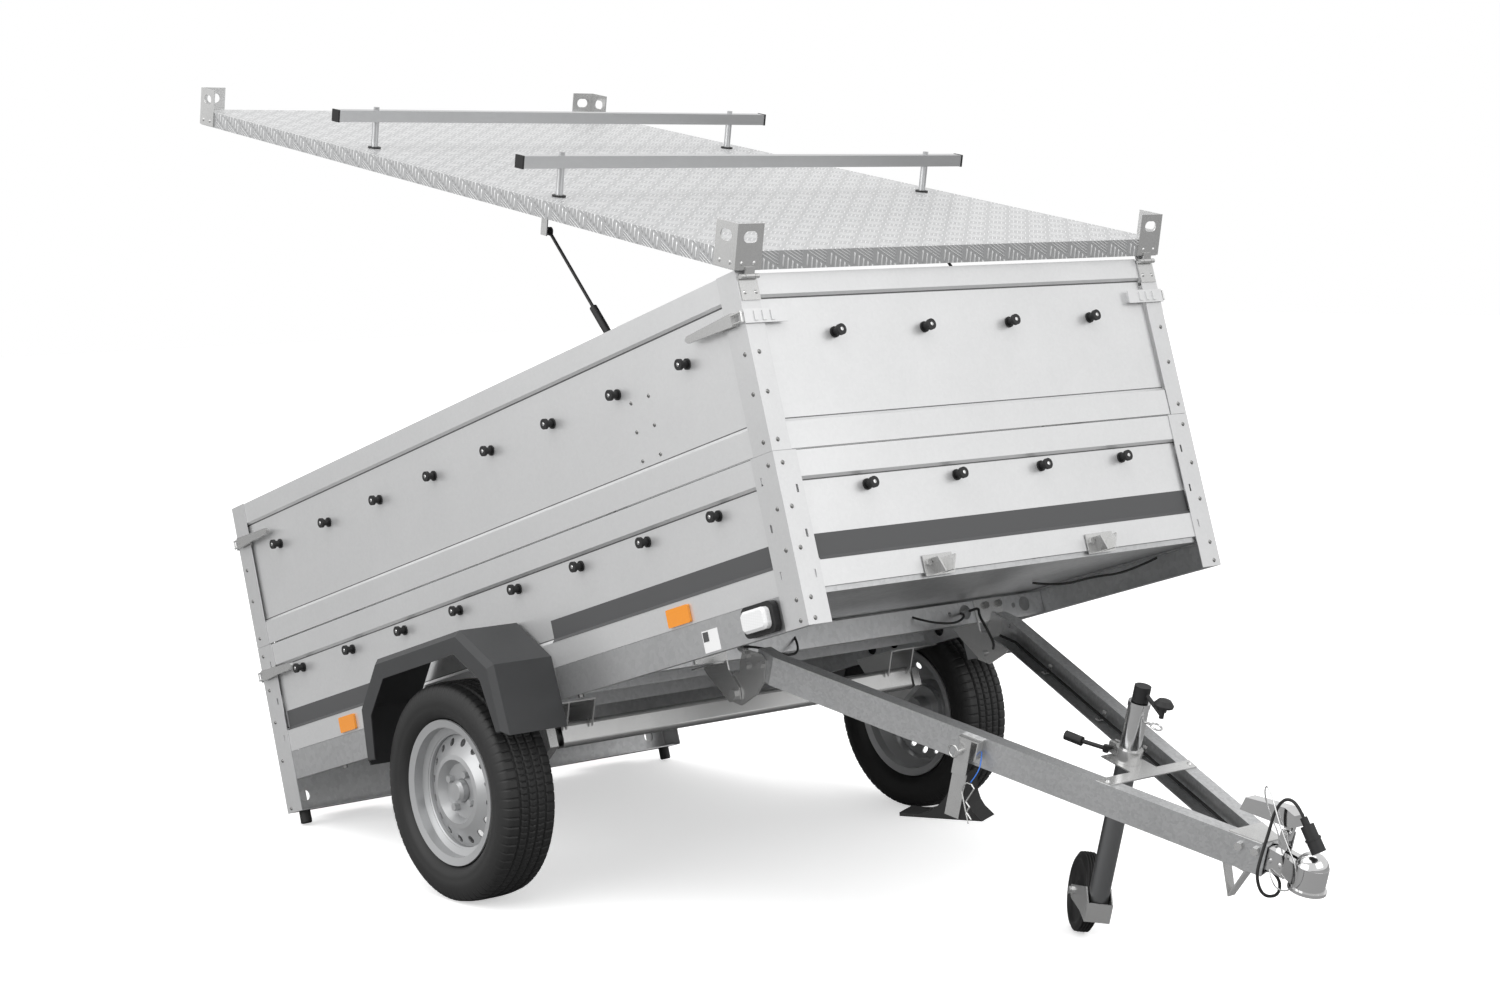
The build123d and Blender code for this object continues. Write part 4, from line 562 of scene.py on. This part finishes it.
def tyre_surface(centre, turns=1080):
    """Round the wheel by angle, round the section by a list of (offset, radius).
    Across the tread the radius is a shallow crown, less 7 mm in each of four grooves (a steep
    bell round its middle line), less 2.5 mm in the sipes (a sharp comb of the angle, shifted
    by a triangle wave of the offset so that it zigzags, and coarser near the shoulders)."""
    across = np.linspace(-57, 57, 61)
    crown = 273.5 - 4.0 * (across / 57) ** 4
    groove = sum(np.exp(-((across - middle) / 3.2) ** 6) for middle in (-37, -12.5, 12.5, 37))
    side = np.array([(64, 268.5), (70, 261), (75, 249), (77.2, 234), (77.5, 222), (76.4, 219),
                     (76.4, 211), (74.5, 203), (70, 195), (63.5, 188), (57, 184.5),
                     (55.5, 182), (55.5, 168.5), (40, 168.5), (46, 180), (60, 201), (66, 225),
                     (58, 252), (44, 260)])
    offset = np.concatenate([across, side[:, 0], -side[::-1, 0]])
    radius = np.concatenate([crown - 7.0 * groove, side[:, 1], side[::-1, 1]])
    angle = np.linspace(0, 2 * math.pi, turns, endpoint=False)
    a, o = np.meshgrid(angle, offset, indexing="ij")
    r = np.broadcast_to(radius, a.shape).copy()
    zigzag = 0.012 * np.abs(((o / 11.0) % 2) - 1)
    outer = np.abs(o) > 41
    teeth = np.where(outer, 72, 108)
    comb = np.cos(teeth * (a + zigzag * (1 - outer)))
    on_tread = (np.arange(len(offset)) < 61)[None, :] & (np.broadcast_to(
        np.concatenate([groove, np.ones(2 * len(side))]), a.shape) < 0.2)
    r -= 3.0 * np.clip((comb - 0.80) / 0.2, 0, 1) ** 0.5 * on_tread
    block = ((np.abs(o) > 58) & (r > 258))
    r -= 2.2 * np.clip((np.cos(72 * a) - 0.75) / 0.25, 0, 1) * block
    x = centre[0] + r / 1000 * np.cos(a)
    z = centre[2] + r / 1000 * np.sin(a)
    y = centre[1] + o / 1000
    return np.stack([x, y, z], axis=-1)


for side in ("right", "left"):
    low, high = (np.array(corner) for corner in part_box(f"tyre_{side}"))
    tyre = on_grid(f"road_tyre_{side}", tyre_surface((low + high) / 2), True, True,
                   f"wheel_{side}", rubber)
    face_outwards(tyre)
    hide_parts(f"tyre_{side}")


# ---- Printed bands -----------------------------------------------------------------------------------
# Charcoal self-adhesive film along the foot of the lower panels, front and sides; it runs down
# over the slanted fold and stops at the mudguards.
def film(name, run, section, along_x, surface, body="box"):
    """Thin film swept straight along a panel: `run` is its start and end, `section` its
    (depth axis, height) points in millimetres on the level box; 0.4 mm thick."""
    inner = np.array(section, dtype=float)
    way = np.sign(inner[0, 0] + inner[-1, 0])
    outer = inner + (0.4 * way, 0)
    loop = np.concatenate([inner, outer[::-1]])
    ends = np.linspace(run[0], run[1], 9)
    rows = []
    for place in ends:
        rows.append([on_trailer((place, d, h) if along_x else (d, place, h)) for d, h in loop])
    made = on_grid(name, np.array(rows), False, True, body, surface, smooth=False)
    count = len(loop)
    caps = [list(range(count)), list(range(8 * count, 9 * count))]
    mesh = made.data
    vertices = [tuple(v.co) for v in mesh.vertices]
    faces = [tuple(p.vertices) for p in mesh.polygons] + [caps[0][::-1], caps[1]]
    mesh.clear_geometry()
    mesh.from_pydata(vertices, [], faces)
    mesh.update()
    face_outwards(made)
    return made


band_film = moulded("charcoal film", (0.080, 0.081, 0.083), (0.066, 0.067, 0.069), 120, 0.02)
for side, sign in (("right", -1), ("left", 1)):
    section = [(sign * 671.8, 138.5), (sign * 664.8, 146.5), (sign * 664.8, 192)]
    for end, run in (("front", (-84, -955)), ("rear", (-1614, -2296))):
        band = film(f"band_{side}_{end}", run, section, True, band_film)
front_band = film("band_front", (-600, 612), [(-2.2, 138.5), (-9.2, 146.5), (-9.2, 197)], False,
                  band_film)


rail_label = film("rail_label", (-375, -316), [(-671.8, 5), (-671.8, 30), (-671.8, 55)], True,
                  moulded("label film", (0.85, 0.85, 0.85), (0.80, 0.80, 0.80), 200, 0.02))
code_print = film("rail_label_print", (-372, -352), [(-672.4, 30), (-672.4, 41), (-672.4, 52)], True,
                  band_film)


# ---- Knob screws and frame cables --------------------------------------------------------------------
# Every tarpaulin knob is held by a bright pan-head screw in its middle.  Under the front of the
# box the lamps' black cables run along the frame in low loops, each tied at both of its ends.
def screw_heads(name, places, body):
    """Low domes of 16 sides, 4.6 mm in radius: each is turned about its own way out, and its
    height above the knob is 1.4 mm at the middle, dropping to nothing at the rim."""
    rings = ((4.6, -0.6), (4.6, 0.5), (3.6, 1.1), (1.8, 1.4))
    vertices, faces = [], []
    for centre, out in places:
        first = len(vertices)
        out = np.array(out, dtype=float)
        across = np.cross(out, (0.0, 0.0, 1.0))
        up = np.cross(across, out)
        for radius, height in rings:
            for step in range(16):
                a = 2 * math.pi * step / 16
                spot = (np.array(centre) + out * height
                        + radius * (math.cos(a) * across + math.sin(a) * up))
                vertices.append(on_trailer(spot))
        for ring in range(len(rings) - 1):
            for step in range(16):
                a, b = first + ring * 16 + step, first + ring * 16 + (step + 1) % 16
                faces.append((a, b, b + 16, a + 16))
        faces.append([first + step for step in range(16)][::-1])
        faces.append([first + 48 + step for step in range(16)])
    mesh = bpy.data.meshes.new(name)
    mesh.from_pydata(vertices, [], faces)
    mesh.update()
    made = bpy.data.objects.new(name, mesh)
    bpy.context.collection.objects.link(made)
    made.data.materials.append(bright)
    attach(made, body)
    face_outwards(made)


tips = []
for number in range(8):
    for height in (646, 294):
        for sign in (-1, 1):
            tips.append(((-238 - number * 274.7, sign * 692.5, height), (0, sign, 0)))
tips += [((18.5, y, 294), (1, 0, 0)) for y in (-415, -138, 138, 415)]
screw_heads("knob_screws", tips, "box")
screw_heads("front_knob_screws", [((18.5, y, 646), (1, 0, 0)) for y in (-415, -138, 138, 415)],
            "front_flap")

for number, route in enumerate((
        [(-632, -362, 34), (-590, -330, 20), (-570, -280, -12), (-580, -220, -6), (-632, -190, 40)],
        [(-632, 200, 44), (-585, 215, 18), (-565, 290, 2), (-585, 350, 24), (-632, 372, 34)],
        [(-400, 420, 62), (-360, 470, 40), (-300, 540, 46), (-230, 580, 36), (-180, 650, 58)])):
    frame_cable = lay_cord(f"frame_cable_{number + 1}", [on_trailer(p) for p in route], 0.006, "box")
    frame_cable.data.materials.append(rubber)


# ---- Jockey wheel ------------------------------------------------------------------------------------
# Solid rubber castor on a plastic centre: five shallow ribs run round its tread.
def castor_surface(centre, axle, turns=96):
    """Profile of (offset, radius) turned about the axle; the tread's radius ripples by a
    raised cosine, five waves across its width."""
    across = np.linspace(-17, 17, 41)
    tread = 91.5 + 2.2 * np.cos(across / 34 * 2 * math.pi * 5) - 3 * (across / 17) ** 6
    cheek = np.array([(19.5, 84), (20, 76), (18, 73), (15, 70), (13, 60), (13, 28), (19.5, 22),
                      (19.5, 6.2)])
    offset = np.concatenate([across, cheek[:, 0], -cheek[::-1, 0]]) / 1000
    radius = np.concatenate([tread, cheek[:, 1], cheek[::-1, 1]]) / 1000
    angle = np.linspace(0, 2 * math.pi, turns, endpoint=False)
    a, o = np.meshgrid(angle, offset, indexing="ij")
    r = np.broadcast_to(radius, a.shape)
    e1 = np.cross(axle, (0, 0, 1.0))
    e1 /= np.linalg.norm(e1)
    e2 = np.cross(axle, e1)
    return (np.array(centre) + o[..., None] * axle + (r * np.cos(a))[..., None] * e1
            + (r * np.sin(a))[..., None] * e2)


castor = next(j for j in frame["joints"] if j["name"] == "jockey_wheel_turn")
axle = np.array(castor["axis"]) / np.linalg.norm(castor["axis"])
castor_wheel = on_grid("jockey_castor", castor_surface(castor["pos_m"], axle), True, True,
                       "jockey_wheel", rubber)
face_outwards(castor_wheel)
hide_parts("jockey_wheel")


# ---- Studio ----------------------------------------------------------------------------------------
# A white seamless floor that runs into a white surround, with one broad soft light overhead,
# one along the right side and a weak one in front.  Floor and surround light the trailer less
# than they show, so that its underside stays dark.
low, high = size_before
bpy.ops.mesh.primitive_plane_add(size=60, location=(0, 0, low[2]))
floor = bpy.context.object
floor.name = "floor"
floor_paint, tree, shader = material("studio floor", (0.5, 0.5, 0.5), 0, 0.9)
seen = node(tree, "ShaderNodeLightPath")
pale = node(tree, "ShaderNodeMix", data_type="RGBA")
pale.inputs["A"].default_value = (0.30, 0.30, 0.30, 1)
pale.inputs["B"].default_value = (0.93, 0.93, 0.93, 1)
glow = node(tree, "ShaderNodeMix", data_type="RGBA")
glow.inputs["A"].default_value = (0, 0, 0, 1)
glow.inputs["B"].default_value = (1, 1, 1, 1)
shader.inputs["Emission Strength"].default_value = 0.50
tree.links.new(seen.outputs["Is Camera Ray"], pale.inputs["Factor"])
tree.links.new(seen.outputs["Is Camera Ray"], glow.inputs["Factor"])
tree.links.new(pale.outputs["Result"], shader.inputs["Base Color"])
tree.links.new(glow.outputs["Result"], shader.inputs["Emission Color"])
floor.data.materials.append(floor_paint)


def softbox(name, place, aim, size, watts):
    lamp = bpy.data.lights.new(name, "AREA")
    lamp.shape = "RECTANGLE"
    lamp.size, lamp.size_y = size
    lamp.energy = watts
    light = bpy.data.objects.new(name, lamp)
    light.location = place
    direction = np.array(aim) - np.array(place)
    light.rotation_euler = Vector(direction).to_track_quat("-Z", "Y").to_euler()
    bpy.context.collection.objects.link(light)


softbox("overhead", (0.5, -1.0, 5.5), (0, 0, 0.5), (7, 6), 150)
softbox("right side", (-0.5, -7.5, 3.2), (-0.5, 0, 0.9), (9, 4.5), 230)
softbox("front", (7.5, 1.0, 3.6), (0.5, 0, 0.8), (6, 4.0), 110)
world = bpy.data.worlds.new("studio")
world.use_nodes = True
sky = world.node_tree
backdrop = sky.nodes["Background"]
backdrop.inputs["Color"].default_value = (1, 1, 1, 1)
eye = node(sky, "ShaderNodeLightPath")
level = node(sky, "ShaderNodeMapRange")
level.inputs["To Min"].default_value = 0.92
level.inputs["To Max"].default_value = 1.0
sky.links.new(eye.outputs["Is Camera Ray"], level.inputs["Value"])
sky.links.new(level.outputs["Result"], backdrop.inputs["Strength"])
bpy.context.scene.world = world
bpy.context.scene.view_settings.view_transform = "Standard"
